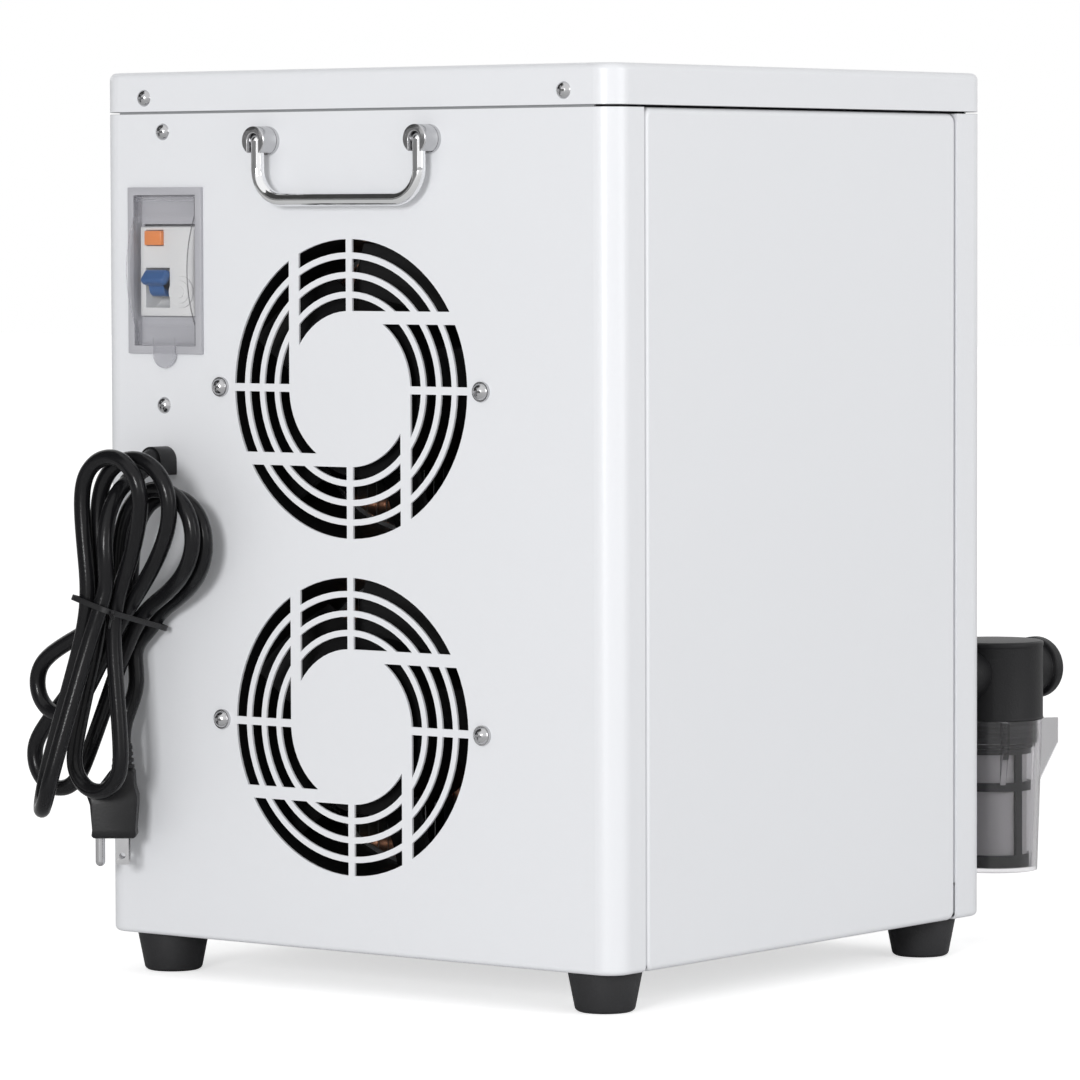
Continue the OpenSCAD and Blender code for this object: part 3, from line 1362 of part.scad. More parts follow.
// Tie round the waist: a thin ribbon with its twisted ends
tie_centre = [-6.4, -16, -74.2];
tie_w = 26.4;
tie_l = 50.8;
tie_t = 1.2;
tie_h = 2.6;
tie_corner = 5;
tie_head = [5, 7, 6.5];
tie_lean = [-13.7, 12, 0];
module cord_tie() {
    color("black") translate(cord_at(tie_centre)) scale(route_unit) rotate(tie_lean) {
        translate([0, 0, -tie_h / 2]) linear_extrude(height = tie_h) difference() {
            tie_outline(tie_t);
            tie_outline(0);
        }
        translate([tie_w / 2 + tie_t / 2, -tie_l / 6, -tie_head.z / 2]) cube(tie_head);
    }
}
module tie_outline(more) {
    r = tie_corner + more;
    for (s = [-1, 1], t = [-1, 1])
        translate([s * (tie_w / 2 - tie_corner), t * (tie_l / 2 - tie_corner)]) circle(r, $fn = 24);
    square([tie_w - 2 * tie_corner, tie_l + 2 * more], center = true);
    square([tie_w + 2 * more, tie_l - 2 * tie_corner], center = true);
}

// Moulded plug hanging pins down, turned about the upright, with a ribbed relief on top
module at_plug() { translate(cord_at(plug_at)) scale(route_unit) rotate(plug_yaw) children(); }
plug_w = 23.5;
plug_d = 20;
plug_slope = 13;
plug_top_d = 15;
plug_chamfer = 4;
plug_lip = 1;
plug_crown = 1.5;
relief_d = 9;
relief_rib_d = 11.4;
relief_ribs = 4;
module cord_plug() {
    color("black") at_plug() {
        difference() {
            intersection() {
                rotate([90, 0, 0]) linear_extrude(height = 2 * plug_d, center = true)
                    polygon([[plug_lip - plug_w / 2, 0], [plug_w / 2 - plug_lip, 0], [plug_w / 2, plug_chamfer],
                             [plug_w / 2, plug_len - 2 * plug_chamfer], [plug_w / 2 - 2 * plug_lip, plug_len],
                             [-plug_crown, plug_len], [-plug_w / 2, plug_len - plug_slope], [-plug_w / 2, plug_chamfer]]);
                rotate([90, 0, 90]) linear_extrude(height = 2 * plug_w, center = true)
                    polygon([[plug_lip - plug_d / 2, 0], [plug_d / 2 - plug_lip, 0], [plug_d / 2, plug_chamfer],
                             [plug_d / 2, plug_len / 2], [plug_top_d / 2, plug_len],
                             [-plug_top_d / 2, plug_len], [-plug_d / 2, plug_len / 2], [-plug_d / 2, plug_chamfer]]);
            }
            prongs();
        }
        translate([plug_relief_x, 0, plug_len - cut]) cylinder(h = relief_len + cut, d = relief_d);
        for (i = [0:relief_ribs - 1]) translate([plug_relief_x, 0, plug_len + i * relief_len / relief_ribs])
            cylinder(h = relief_len / relief_ribs / 2, d = relief_rib_d - i * fit);
    }
}

// Two flat blades and a round ground pin, set into the plug
blade = [6.35, 1.5, 13];
blade_step = 12.7;
blade_x = 4;
ground_x = -7.3;
ground_d = 4.8;
ground_len = 14.5;
prong_in = 8;
module prongs() {
    for (s = [-1, 1]) difference() {
        translate([blade_x - blade.x / 2, s * blade_step / 2 - blade.y / 2, -blade.z]) cube([blade.x, blade.y, blade.z + prong_in]);
        translate([blade_x, s * blade_step / 2, -blade.z * 2 / 3]) rotate([90, 0, 0])
            cylinder(h = 2 * blade.y, d = blade.x / 2, center = true, $fn = 24);
    }
    translate([ground_x, 0, -ground_len + ground_d / 2]) {
        cylinder(h = ground_len - ground_d / 2 + prong_in, d = ground_d);
        sphere(d = ground_d);
    }
}
module plug_prongs() { color("silver") at_plug() prongs(); }

base_tray();
fan_panel();
front_panel();
side_panel_left();
side_panel_right();
top_cover();
cover_screws();
bracket_screws();
fan_screws();
fan_nuts();
foot_fan_left();
foot_fan_right();
foot_front_left();
foot_front_right();
foot_screws();
fan_side_bosses();
fan_side_bail();
front_side_bosses();
front_side_bail();
handle_pins();
breaker_bezel();
breaker_flap();
breaker_body();
breaker_lever();
test_button();
din_rail();
breaker_bracket();
upper_fan_frame();
upper_fan_rotor();
lower_fan_frame();
lower_fan_rotor();
fan_shroud();
condenser_fins();
condenser_tubes();
compressor();
compressor_mounts();
evaporator_shell();
evaporator_coil();
filter_drier();
refrigerant_lines();
pump();
water_hoses();
inlet_fitting();
outlet_fitting();
filter_head();
filter_bowl();
bowl_seal();
strainer_cage();
strainer_mesh();
control_board();
display_module();
capacitor();
cord_gland();
cord_lead();
cord_hank();
cord_tail();
cord_tie();
cord_plug();
plug_prongs();
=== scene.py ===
from math import cos, pi, radians, sin

import bmesh
import bpy
from mathutils import Matrix, Vector


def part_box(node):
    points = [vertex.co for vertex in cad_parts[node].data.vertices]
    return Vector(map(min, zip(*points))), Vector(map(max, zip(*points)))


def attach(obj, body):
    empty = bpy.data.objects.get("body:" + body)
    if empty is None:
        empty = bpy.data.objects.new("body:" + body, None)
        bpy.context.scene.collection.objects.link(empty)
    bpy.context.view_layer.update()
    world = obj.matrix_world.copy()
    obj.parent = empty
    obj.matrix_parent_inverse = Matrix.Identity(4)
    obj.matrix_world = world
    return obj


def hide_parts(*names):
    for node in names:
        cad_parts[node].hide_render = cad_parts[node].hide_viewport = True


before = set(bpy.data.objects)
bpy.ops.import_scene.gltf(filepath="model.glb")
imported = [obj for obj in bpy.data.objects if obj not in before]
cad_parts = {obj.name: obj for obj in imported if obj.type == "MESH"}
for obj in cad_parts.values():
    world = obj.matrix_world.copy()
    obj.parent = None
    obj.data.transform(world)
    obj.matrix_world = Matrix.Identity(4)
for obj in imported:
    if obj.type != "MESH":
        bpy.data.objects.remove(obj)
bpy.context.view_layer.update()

scene = bpy.context.scene
scene.view_settings.view_transform = "Standard"

# Camera at the photograph's place: low, well back, between the fan face and the right side.
# A long lens keeps the cabinet's uprights nearly parallel.
camera_place = (1.8211, -2.4191, 0.375)
camera_yaw, camera_pitch, camera_roll = 0.655, pi / 2 - 0.054, -0.003
camera_data = bpy.data.cameras.new("photo_camera")
camera_data.sensor_width = 36.0
camera_data.lens = 198.88
camera_data.clip_end = 50.0
camera = bpy.data.objects.new("photo_camera", camera_data)
scene.collection.objects.link(camera)
camera_turn = (Matrix.Rotation(camera_yaw, 3, "Z") @ Matrix.Rotation(camera_pitch, 3, "X")
               @ Matrix.Rotation(camera_roll, 3, "Z"))
camera.matrix_world = Matrix.Translation(camera_place) @ camera_turn.to_4x4()
scene.camera = camera


# Mains cord: three conductors in a black PVC sheath, 8 mm thick. It leaves the gland, is wound in
# four long loops each way round a tie, and its end drops from the tie to the plug. Its route is
# given in millimetres from the gland's exit.
def knot_curve(knots, t):
    """The point at span number t of the smooth curve that a row of knots pulls along."""
    i = min(int(t), len(knots) - 4)
    u = t - i
    return (knots[i] * (1 - u) ** 3 + knots[i + 1] * (3 * u ** 3 - 6 * u * u + 4)
            + knots[i + 2] * (-3 * u ** 3 + 3 * u * u + 3 * u + 1) + knots[i + 3] * u ** 3) / 6


def open_run(knots, steps):
    """The points of such a curve that starts on its first knot and ends on its last."""
    run = [2 * knots[0] - knots[1]] + knots + [2 * knots[-1] - knots[-2]]
    return [knot_curve(run, i * (len(run) - 3) / steps) for i in range(steps + 1)]


mm = 0.001
cord_d = 8.0
gland_exit = Vector((-0.117, -0.2105, 0.256))
waist = Vector((-7, -34, -72))
layer_step, layer_sink, waist_half = 9.2, 1.6, 2.5
# Each loop's arc has its centre across and up, its radius, its turn in degrees and its shift in depth.
# Its knots stand knot_reach radii out, so that the curve that they pull runs at the radius itself.
low_loops = [(-32.5, -156, 15, -46, -6.5), (-14, -147, 15, 0, 0),
             (-46.5, -111, 15, 0, 0), (-56, -148, 16, 0, 0)]
high_loops = [(4, -15, 18, 0, 0), (11, -20, 22, 0, 0), (18.4, -35, 22, 0, 0), (18.5, -38.5, 22, 0, 0)]
arc_angles = (112.5, 67.5, 22.5, -22.5, -67.5, -112.5)
knot_reach = 1.109
climb_shares = (0, 0, 0, 0, 0, 0, 0.35, 1)


def waist_at(layer, side):
    """A run's place at the tie, in its layer, on the left for side -1 and on the right for 1."""
    return waist + Vector((side * waist_half, layer_step * layer, -layer_sink * layer))


def loop_knots(layer, side):
    """The knots of one loop, side 1 above the waist and -1 below; the one above climbs a layer."""
    x, z, r, turn, shift = high_loops[layer] if side > 0 else low_loops[layer]
    turn = radians(turn)
    mid = waist_at(layer, 0)
    centre = Vector((x, mid.y + shift, z))
    out = Vector((x - mid.x, 0, z - mid.z)).normalized()
    across = Vector((-out.z * cos(turn), sin(turn), out.x * cos(turn)))
    arc = [centre + r * knot_reach * (cos(radians(a)) * out + sin(radians(a)) * across) for a in arc_angles]
    leave = waist_at(layer, side) - Vector((0, 0, layer_sink if side > 0 else 0))
    run = [(waist_at(layer, -side) + arc[0]) / 2] + arc + [(leave + arc[-1]) / 2]
    climb = layer_step if side > 0 else 0
    return [p + Vector((0, climb * share, 0)) for p, share in zip(run, climb_shares)]


knots = [loop_knots(0, 1)[-1] - Vector((0, layer_step, 0))]
for layer in range(4):
    knots += [waist_at(layer, 1)] + loop_knots(layer, -1) + [waist_at(layer, -1)] + loop_knots(layer, 1)
knots += [waist_at(4, 1), waist_at(4, 1) - Vector((4, 0, 30))]
spans, span_steps, end_span = len(knots) - 3, 10, 0.75
hank = [knot_curve(knots, i / span_steps) for i in range(span_steps * spans + 1)]
start_way = (hank[0] - knot_curve(knots, end_span)).normalized()
end_way = (hank[-1] - knot_curve(knots, spans - end_span)).normalized()
hank_start, hank_end = hank[0] + cord_d * start_way, hank[-1] + cord_d * end_way
boot_length, boot_tilt = 20, radians(30)
boot_way = Vector((0, -cos(boot_tilt), -sin(boot_tilt)))
plug_place, plug_yaw = Vector((-20.3, -5, -186.5)), radians(37.5)
relief_side, relief_top = 4.2, 46.5
cord_end = plug_place + Vector((relief_side * cos(plug_yaw), relief_side * sin(plug_yaw), relief_top))
lead = open_run([boot_length * boot_way, (boot_length + cord_d) * boot_way, Vector((-0.6, -30.5, -24)),
                 Vector((0.2, -34.3, -37)), Vector((1, -34.6, -48)), hank_start + cord_d * start_way,
                 hank_start], steps=70)
tail = open_run([hank_end, hank_end + 10 * end_way, Vector((-10.5, 2.2, -109)), Vector((-14, 1, -120)),
                 Vector((-16.2, -0.8, -127)), cord_end + Vector((0, 0, 6)), cord_end], steps=70)
cord_route = [gland_exit + mm * p for p in lead + hank + tail]

# A curve's box takes in its points' radius, so they hold the cord's own and the bevel only scales it.
cord_curve = bpy.data.curves.new("mains_cord", "CURVE")
cord_curve.dimensions = "3D"
cord_curve.bevel_depth = 1.0
cord_curve.bevel_resolution = 6
cord_curve.use_fill_caps = True
cord_spline = cord_curve.splines.new("POLY")
cord_spline.points.add(len(cord_route) - 1)
for point, place in zip(cord_spline.points, cord_route):
    point.co = (*place, 1)
    point.radius = mm * cord_d / 2
cord_spline.use_smooth = True
mains_cord = bpy.data.objects.new("mains_cord", cord_curve)
scene.collection.objects.link(mains_cord)
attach(mains_cord, "cabinet")
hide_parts("cord_lead", "cord_hank", "cord_tail")


# The cord's sheath has the finish that every moulded, painted and bare surface here shares: a fine
# grain in gloss and relief, and a slow drift between two tones. Each material sets its own scales.
def add(tree, kind, inputs=(), **settings):
    """A shader node whose inputs are given as values, or as sockets to link."""
    made = tree.nodes.new("ShaderNode" + kind)
    for key, value in settings.items():
        setattr(made, key, value)
    for socket, value in inputs:
        if isinstance(value, bpy.types.NodeSocket):
            tree.links.new(value, made.inputs[socket])
        else:
            made.inputs[socket].default_value = value
    return made


def mixed(tree, share, first, second, **settings):
    """Two colours mixed. The Mix node holds them in inputs 6 and 7 and gives output 2."""
    return add(tree, "Mix", ((0, share), (6, first), (7, second)), data_type="RGBA", **settings).outputs[2]


def feed(tree, source, target):
    """Links a socket to an input of the Principled shader, in place of what fed it."""
    tree.links.new(source, tree.nodes["Principled BSDF"].inputs[target])


grain = bpy.data.node_groups.new("surface grain", "ShaderNodeTree")
for name, kind in (("Light tone", "Color"), ("Dark tone", "Color"), ("Grain scale", "Float"),
                   ("Grain depth", "Float"), ("Drift scale", "Float"), ("Smooth", "Float"),
                   ("Rough", "Float")):
    grain.interface.new_socket(name=name, in_out="INPUT", socket_type="NodeSocket" + kind)
for name, kind in (("Color", "Color"), ("Roughness", "Float"), ("Normal", "Vector")):
    grain.interface.new_socket(name=name, in_out="OUTPUT", socket_type="NodeSocket" + kind)
given = grain.nodes.new("NodeGroupInput").outputs
place = add(grain, "TexCoord").outputs["Object"]
fine = add(grain, "TexNoise", (("Vector", place), ("Scale", given["Grain scale"]), ("Detail", 3.0))).outputs[0]
slow = add(grain, "TexNoise", (("Vector", place), ("Scale", given["Drift scale"]), ("Detail", 4.0))).outputs[0]
tone = mixed(grain, slow, given["Light tone"], given["Dark tone"])
gloss = add(grain, "Mix", ((0, fine), (2, given["Smooth"]), (3, given["Rough"]))).outputs[0]
relief = add(grain, "Bump", (("Height", fine), ("Strength", given["Grain depth"]), ("Distance", mm)))
result = grain.nodes.new("NodeGroupOutput")
for socket, value in (("Color", tone), ("Roughness", gloss), ("Normal", relief.outputs["Normal"])):
    grain.links.new(value, result.inputs[socket])


def grained(name, light, dark, scale, depth, smooth, rough, metallic=0.0, drift=18.0, **settings):
    """A Principled shader fed by the shared grain; its other sockets are set by name."""
    material = bpy.data.materials.new(name)
    material.use_nodes = True
    tree = material.node_tree
    made = add(tree, "Group", node_tree=grain, name="grain")
    for socket, value in (("Light tone", (*light, 1)), ("Dark tone", (*dark, 1)), ("Grain scale", scale),
                          ("Grain depth", depth), ("Drift scale", drift), ("Smooth", smooth),
                          ("Rough", rough)):
        made.inputs[socket].default_value = value
    for source, target in (("Color", "Base Color"), ("Roughness", "Roughness"), ("Normal", "Normal")):
        feed(tree, made.outputs[source], target)
    for socket, value in {"Metallic": metallic, **settings}.items():
        tree.nodes["Principled BSDF"].inputs[socket.replace("_", " ")].default_value = value
    return material


cord_sheath = grained("black cord sheath", (0.010, 0.010, 0.011), (0.007, 0.007, 0.008), 900.0, 0.08,
                      0.15, 0.24, Specular_IOR_Level=0.22)
cord_curve.materials.append(cord_sheath)


# Twist tie round the hank: a thin black ribbon with a wire core, its two ends twisted together at
# the front corner and left short.
def piece(name, shape, body, material, slot, *replaced, smooth=35):
    """Turns a finished bmesh into a named piece that rides on a body and stands for CAD nodes."""
    mesh = bpy.data.meshes.new(name)
    shape.to_mesh(mesh)
    shape.free()
    mesh.shade_smooth()
    mesh.set_sharp_from_angle(angle=radians(smooth))
    mesh.materials.append(material)
    made = bpy.data.objects.new(name, mesh)
    scene.collection.objects.link(made)
    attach(made, body)
    if replaced:
        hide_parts(*replaced)
    return made


def new_verts(geom):
    """The vertices among what an extrusion made."""
    return [g for g in geom if isinstance(g, bmesh.types.BMVert)]


tie_centre, tie_across, tie_along, tie_round = Vector((-6.4, -16, -74.2)), 26.0, 50.6, 5.4
ribbon_width, ribbon_thick, end_width, end_thick = 2.6, 0.9, 2.2, 0.8
tie_turn = Matrix.Rotation(radians(15), 4, "Y") @ Matrix.Rotation(radians(-13.7), 4, "X")
tie_place = Matrix.Translation(gland_exit + mm * tie_centre) @ tie_turn @ Matrix.Scale(mm, 4)
tie = bmesh.new()
ribbon = bmesh.ops.create_circle(tie, segments=48, radius=tie_round)["verts"]
for v in ribbon:
    v.co.x += (tie_across / 2 - tie_round) * (1 if v.co.x > 0 else -1)
    v.co.y += (tie_along / 2 - tie_round) * (1 if v.co.y > 0 else -1)
    v.co.z = -ribbon_width / 2
wall = bmesh.ops.extrude_edge_only(tie, edges=tie.edges[:])["geom"]
bmesh.ops.translate(tie, vec=(0, 0, ribbon_width), verts=new_verts(wall))
bmesh.ops.recalc_face_normals(tie, faces=tie.faces[:])
bmesh.ops.solidify(tie, geom=tie.faces[:], thickness=-ribbon_thick)
corner = Vector((tie_across / 2 - 1, -tie_along / 2 + 3, 0))
end_yaw = Matrix.Rotation(radians(-38), 4, "Z")
for first_turn, twist, length, lean, shift in (
        (0, 0.55, 11.0, 10, (0, 0, 0)), (pi / 2, 0.55, 11.0, 10, (0, 0, 0)), (0.4, 0, 9.0, 60, (4, -3, 0))):
    strip = bmesh.ops.create_cube(tie, size=1.0)["verts"]
    bmesh.ops.scale(tie, vec=(end_width, end_thick, length), verts=strip)
    rungs = [e for e in dict.fromkeys(e for v in strip for e in v.link_edges)
             if abs(e.verts[0].co.z - e.verts[1].co.z) > 1]
    bmesh.ops.subdivide_edges(tie, edges=rungs, cuts=14, use_grid_fill=True)
    strip = [v for v in tie.verts if max(abs(v.co.x), abs(v.co.y)) < 1.2 and abs(v.co.z) < length / 2 + 0.1]
    for v in strip:
        v.co = Matrix.Rotation(twist * v.co.z + first_turn, 3, "Z") @ v.co + Vector((0, 0, length / 2 - 1))
    aim = end_yaw @ Matrix.Rotation(radians(90 + lean), 4, "Y")
    bmesh.ops.transform(tie, matrix=Matrix.Translation(corner + Vector(shift)) @ aim, verts=strip)
bmesh.ops.transform(tie, matrix=tie_place, verts=tie.verts[:])
bmesh.ops.recalc_face_normals(tie, faces=tie.faces[:])
tie_paper = grained("black ribbon", (0.016, 0.016, 0.017), (0.010, 0.010, 0.011), 1500.0, 0.25, 0.4, 0.55,
                    Specular_IOR_Level=0.3)
twist_tie = piece("twist_tie", tie, "cabinet", tie_paper, "black_plastic", "cord_tie")

# Plug: one black PVC moulding over the pins, its body sloped on one side, with a ribbed relief on top
# that lets the cord bend.
moulded_black = grained("black moulded plastic", (0.011, 0.011, 0.012), (0.008, 0.008, 0.009), 900.0, 0.05,
                        0.30, 0.42, Specular_IOR_Level=0.28)


def rounded(shape, radius, sharp, segments=3):
    """Rounds every edge of a shape that turns by more than an angle in degrees."""
    edges = [e for e in shape.edges if len(e.link_faces) == 2 and e.calc_face_angle() > radians(sharp)]
    bmesh.ops.bevel(shape, geom=edges, offset=radius, offset_type="OFFSET", affect="EDGES", segments=segments,
                    profile=0.5, material=-1, clamp_overlap=True)


def turned(profile, radius, matrix, steps=64, sharp=25):
    """A closed profile of (radius, height) in millimetres, spun round its axis, with its edges rounded."""
    shape = bmesh.new()
    corners = [shape.verts.new((r, 0, z)) for r, z in profile]
    rim = [shape.edges.new(pair) for pair in zip(corners, corners[1:] + corners[:1])]
    bmesh.ops.spin(shape, geom=corners + rim, cent=(0, 0, 0), axis=(0, 0, 1), dvec=(0, 0, 0), angle=2 * pi,
                   steps=steps, use_merge=True)
    bmesh.ops.remove_doubles(shape, verts=shape.verts[:], dist=1e-4)
    bmesh.ops.recalc_face_normals(shape, faces=shape.faces[:])
    rounded(shape, radius, sharp)
    bmesh.ops.transform(shape, matrix=matrix @ Matrix.Scale(mm, 4), verts=shape.verts[:])
    return shape


def joined(shape, other):
    """Adds a second finished shape to the first as a shell of the same piece."""
    carrier = bpy.data.meshes.new("carrier")
    other.to_mesh(carrier)
    other.free()
    shape.from_mesh(carrier)
    bpy.data.meshes.remove(carrier)


# At each height, the body's left side, its right side and half its depth.
plug_levels = {0: (-10.75, 10.75, 9), 4: (-11.75, 11.75, 10), 17: (-11.75, 11.75, 10),
               21: (-11.75, 11.75, 9.4), 26: (-7.8, 11.75, 8.7), 34: (-1.5, 9.75, 7.5)}
plug_width, plug_depth, plug_height = 23.5, 20, max(plug_levels)
rib_pitch, rib_taper, groove_r = 3.1, 0.3, 4.4
plug_spot = Matrix.Translation(gland_exit + mm * plug_place) @ Matrix.Rotation(plug_yaw, 4, "Z")
plug = bmesh.new()
bmesh.ops.create_cube(plug, size=1.0, matrix=Matrix.Translation((0, 0, plug_height / 2))
                      @ Matrix.Diagonal((plug_width, plug_depth, plug_height, 1)))
for height in list(plug_levels)[1:-1]:
    bmesh.ops.bisect_plane(plug, geom=plug.verts[:] + plug.edges[:] + plug.faces[:],
                           plane_co=(0, 0, height), plane_no=(0, 0, 1))
for v in plug.verts:
    left, right, half = plug_levels[round(v.co.z)]
    v.co.x = left if v.co.x < 0 else right
    v.co.y = half if v.co.y > 0 else -half
rounded(plug, radius=1.5, sharp=12)
bmesh.ops.transform(plug, matrix=plug_spot @ Matrix.Scale(mm, 4), verts=plug.verts[:])
relief_profile = [(0, 33), (5.0, 33), (5.0, 34.2)]
for i in range(4):
    rib_r, base = 5.7 - rib_taper * i, rib_pitch * i
    relief_profile += [(rib_r, 34.4 + base), (rib_r, 36.0 + base),
                       (groove_r, 36.2 + base), (groove_r, 37.3 + base)]
relief_profile = relief_profile[:-1] + [(groove_r, relief_top), (0, relief_top)]
relief_spot = plug_spot @ Matrix.Translation((mm * relief_side, 0, 0))
joined(plug, turned(relief_profile, radius=0.3, matrix=relief_spot, steps=40))
moulded_plug = piece("moulded_plug", plug, "cabinet", moulded_black, "black_plastic", "cord_plug")

# Cord gland: an arched black block on the panel with a shallow front step, and a tapered boot that
# leads the cord out and down.
block_r, block_out, step_width, step_sunk = 7.0, 12, 1.6, 0.7
gland = bmesh.new()
rim = bmesh.ops.create_circle(gland, segments=48, radius=block_r, cap_ends=True)["verts"]
for v in rim:
    if v.co.y < -0.01:
        v.co *= block_r / max(abs(v.co.x), abs(v.co.y))
front = bmesh.ops.extrude_face_region(gland, geom=gland.faces[:])["geom"]
bmesh.ops.translate(gland, vec=(0, 0, block_out), verts=new_verts(front))
bmesh.ops.recalc_face_normals(gland, faces=gland.faces[:])
face = max(gland.faces, key=lambda f: f.calc_center_median().z)
bmesh.ops.inset_region(gland, faces=[face], thickness=step_width, depth=0)
bmesh.ops.translate(gland, vec=(0, 0, -step_sunk), verts=face.verts[:])
rounded(gland, radius=0.7, sharp=40)
gland_spot = Matrix.Translation((gland_exit.x, gland_exit.y + mm * block_out, gland_exit.z))
bmesh.ops.transform(gland, matrix=gland_spot @ Matrix.Rotation(pi / 2, 4, "X") @ Matrix.Scale(mm, 4),
                    verts=gland.verts[:])
boot_turn = boot_way.to_track_quat("Z", "X").to_matrix().to_4x4()
boot_profile = [(0, -4), (5.4, -4), (5.3, 3), (4.9, 3.4), (4.9, 4.4), (5.15, 4.8), (5.0, 8), (4.6, 8.4),
                (4.6, 9.4), (4.9, 9.8), (4.7, 13), (4.4, 13.4), (4.4, 14.4), (4.6, 14.8), (4.3, boot_length),
                (0, boot_length)]
boot_spot = Matrix.Translation(gland_exit) @ boot_turn
joined(gland, turned(boot_profile, radius=0.2, matrix=boot_spot, steps=40))
gland_block = piece("cord_gland_block", gland, "cabinet", moulded_black, "black_plastic", "cord_gland")


# Cabinet: panels and cover of bent sheet steel with a white powder coat, whose faint orange peel
# breaks up the reflections. Painted shade darkens the narrow seam under the cover.
def worked(tree, operation, *values, **settings):
    """The result of a Math node."""
    return add(tree, "Math", enumerate(values), operation=operation, **settings).outputs[0]


def dress(material, *names):
    """Gives CAD nodes that keep their own shape a material."""
    for name in names:
        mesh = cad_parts[name].data
        mesh.materials.clear()
        mesh.materials.append(material)


powder_coat = grained("white powder coat", (0.80, 0.81, 0.835), (0.785, 0.795, 0.82), 420.0, 0.05,
                      0.26, 0.36, drift=6.0)
# The seam's dark tone is painted shade, laid on every coated surface at the seam's height.
seam_z, seam_half, painted_seam_shade = 0.427, 0.0007, (0.36, 0.37, 0.385, 1)
tree = powder_coat.node_tree
height = add(tree, "SeparateXYZ", ((0, add(tree, "TexCoord").outputs["Object"]),)).outputs["Z"]
in_seam = worked(tree, "COMPARE", height, seam_z, seam_half)
feed(tree, mixed(tree, in_seam, tree.nodes["grain"].outputs["Color"], painted_seam_shade), "Base Color")
dress(powder_coat, "fan_panel", "front_panel", "side_panel_left", "side_panel_right", "top_cover")

# Tray, rail, bracket and shroud: galvanised sheet, cut, folded and left bare. The tray carries the
# works, the rail and its bracket hold the breaker, and the shroud joins the condenser to the fans.
galvanised = grained("galvanised sheet", (0.62, 0.63, 0.65), (0.46, 0.47, 0.49), 90.0, 0.05, 0.28, 0.5,
                     metallic=1.0, drift=60.0)
dress(galvanised, "base_tray", "din_rail", "breaker_bracket", "fan_shroud")

# Screws and nuts: bright plated steel, the screws with domed cross-slotted heads, turned through the
# panels. The handles' pins and the plug's blades have the same plate.
plated_steel = grained("bright plated steel", (0.60, 0.60, 0.61), (0.50, 0.50, 0.51), 500.0, 0.03,
                       0.12, 0.22, metallic=1.0)
dress(plated_steel, "cover_screws", "bracket_screws", "fan_screws", "fan_nuts", "foot_screws", "handle_pins",
      "plug_prongs")

# Handles: bails of bent rod, polished and chrome plated, that swing on pins. The pins sit in turned
# bosses with a satin plate, each on a round foot against the panel and slotted below for the bail.
polished_chrome = grained("polished chrome", (0.90, 0.905, 0.91), (0.86, 0.865, 0.87), 500.0, 0.01,
                          0.03, 0.06, metallic=1.0)
dress(polished_chrome, "fan_side_bail", "front_side_bail")
satin_plate = grained("satin nickel plate", (0.58, 0.58, 0.59), (0.50, 0.50, 0.51), 900.0, 0.01,
                      0.16, 0.24, metallic=1.0)
boss_r, slot_r, boss_out, boss_floor = 7.0, 3.6, 12.0, 2.0
boss_x, boss_z, fan_face, front_face = 0.05, 0.4125, -0.1985, 0.1165
for side, face_y, half_turn in (("fan_side", fan_face, 0), ("front_side", front_face, pi)):
    pair = bmesh.new()
    for x in (-boss_x, boss_x):
        boss = bmesh.new()
        outer = bmesh.ops.create_circle(boss, segments=64, radius=boss_r)["verts"]
        inner = bmesh.ops.create_circle(boss, segments=64, radius=slot_r)["verts"]
        slot_low = -(boss_r ** 2 - slot_r ** 2) ** 0.5
        bmesh.ops.delete(boss, geom=[v for v in outer if v.co.y < 0 and abs(v.co.x) < slot_r + 0.3]
                         + [v for v in inner if v.co.y < -0.01], context="VERTS")
        for v in [v for v in boss.verts if len(v.link_edges) == 1]:
            foot = boss.verts.new((slot_r if v.co.x > 0 else -slot_r, slot_low, 0))
            boss.edges.new((v, foot))
        bmesh.ops.remove_doubles(boss, verts=boss.verts[:], dist=1e-4)
        bmesh.ops.contextual_create(boss, geom=boss.edges[:])
        top = bmesh.ops.extrude_face_region(boss, geom=boss.faces[:])["geom"]
        bmesh.ops.translate(boss, vec=(0, 0, boss_out - boss_floor), verts=new_verts(top))
        bmesh.ops.recalc_face_normals(boss, faces=boss.faces[:])
        rounded(boss, radius=0.9, sharp=50)
        bmesh.ops.translate(boss, vec=(0, 0, boss_floor), verts=boss.verts[:])
        bmesh.ops.create_cone(boss, cap_ends=True, segments=64, radius1=boss_r, radius2=boss_r,
                              depth=boss_floor, matrix=Matrix.Translation((0, 0, boss_floor / 2)))
        spot = Matrix.Translation((x, face_y, boss_z)) @ Matrix.Rotation(half_turn, 4, "Z")
        bmesh.ops.transform(boss, matrix=spot @ Matrix.Rotation(pi / 2, 4, "X") @ Matrix.Scale(mm, 4),
                            verts=boss.verts[:])
        joined(pair, boss)
    piece(side + "_handle_bosses", pair, "cabinet", satin_plate, "bright_steel", side + "_bosses")

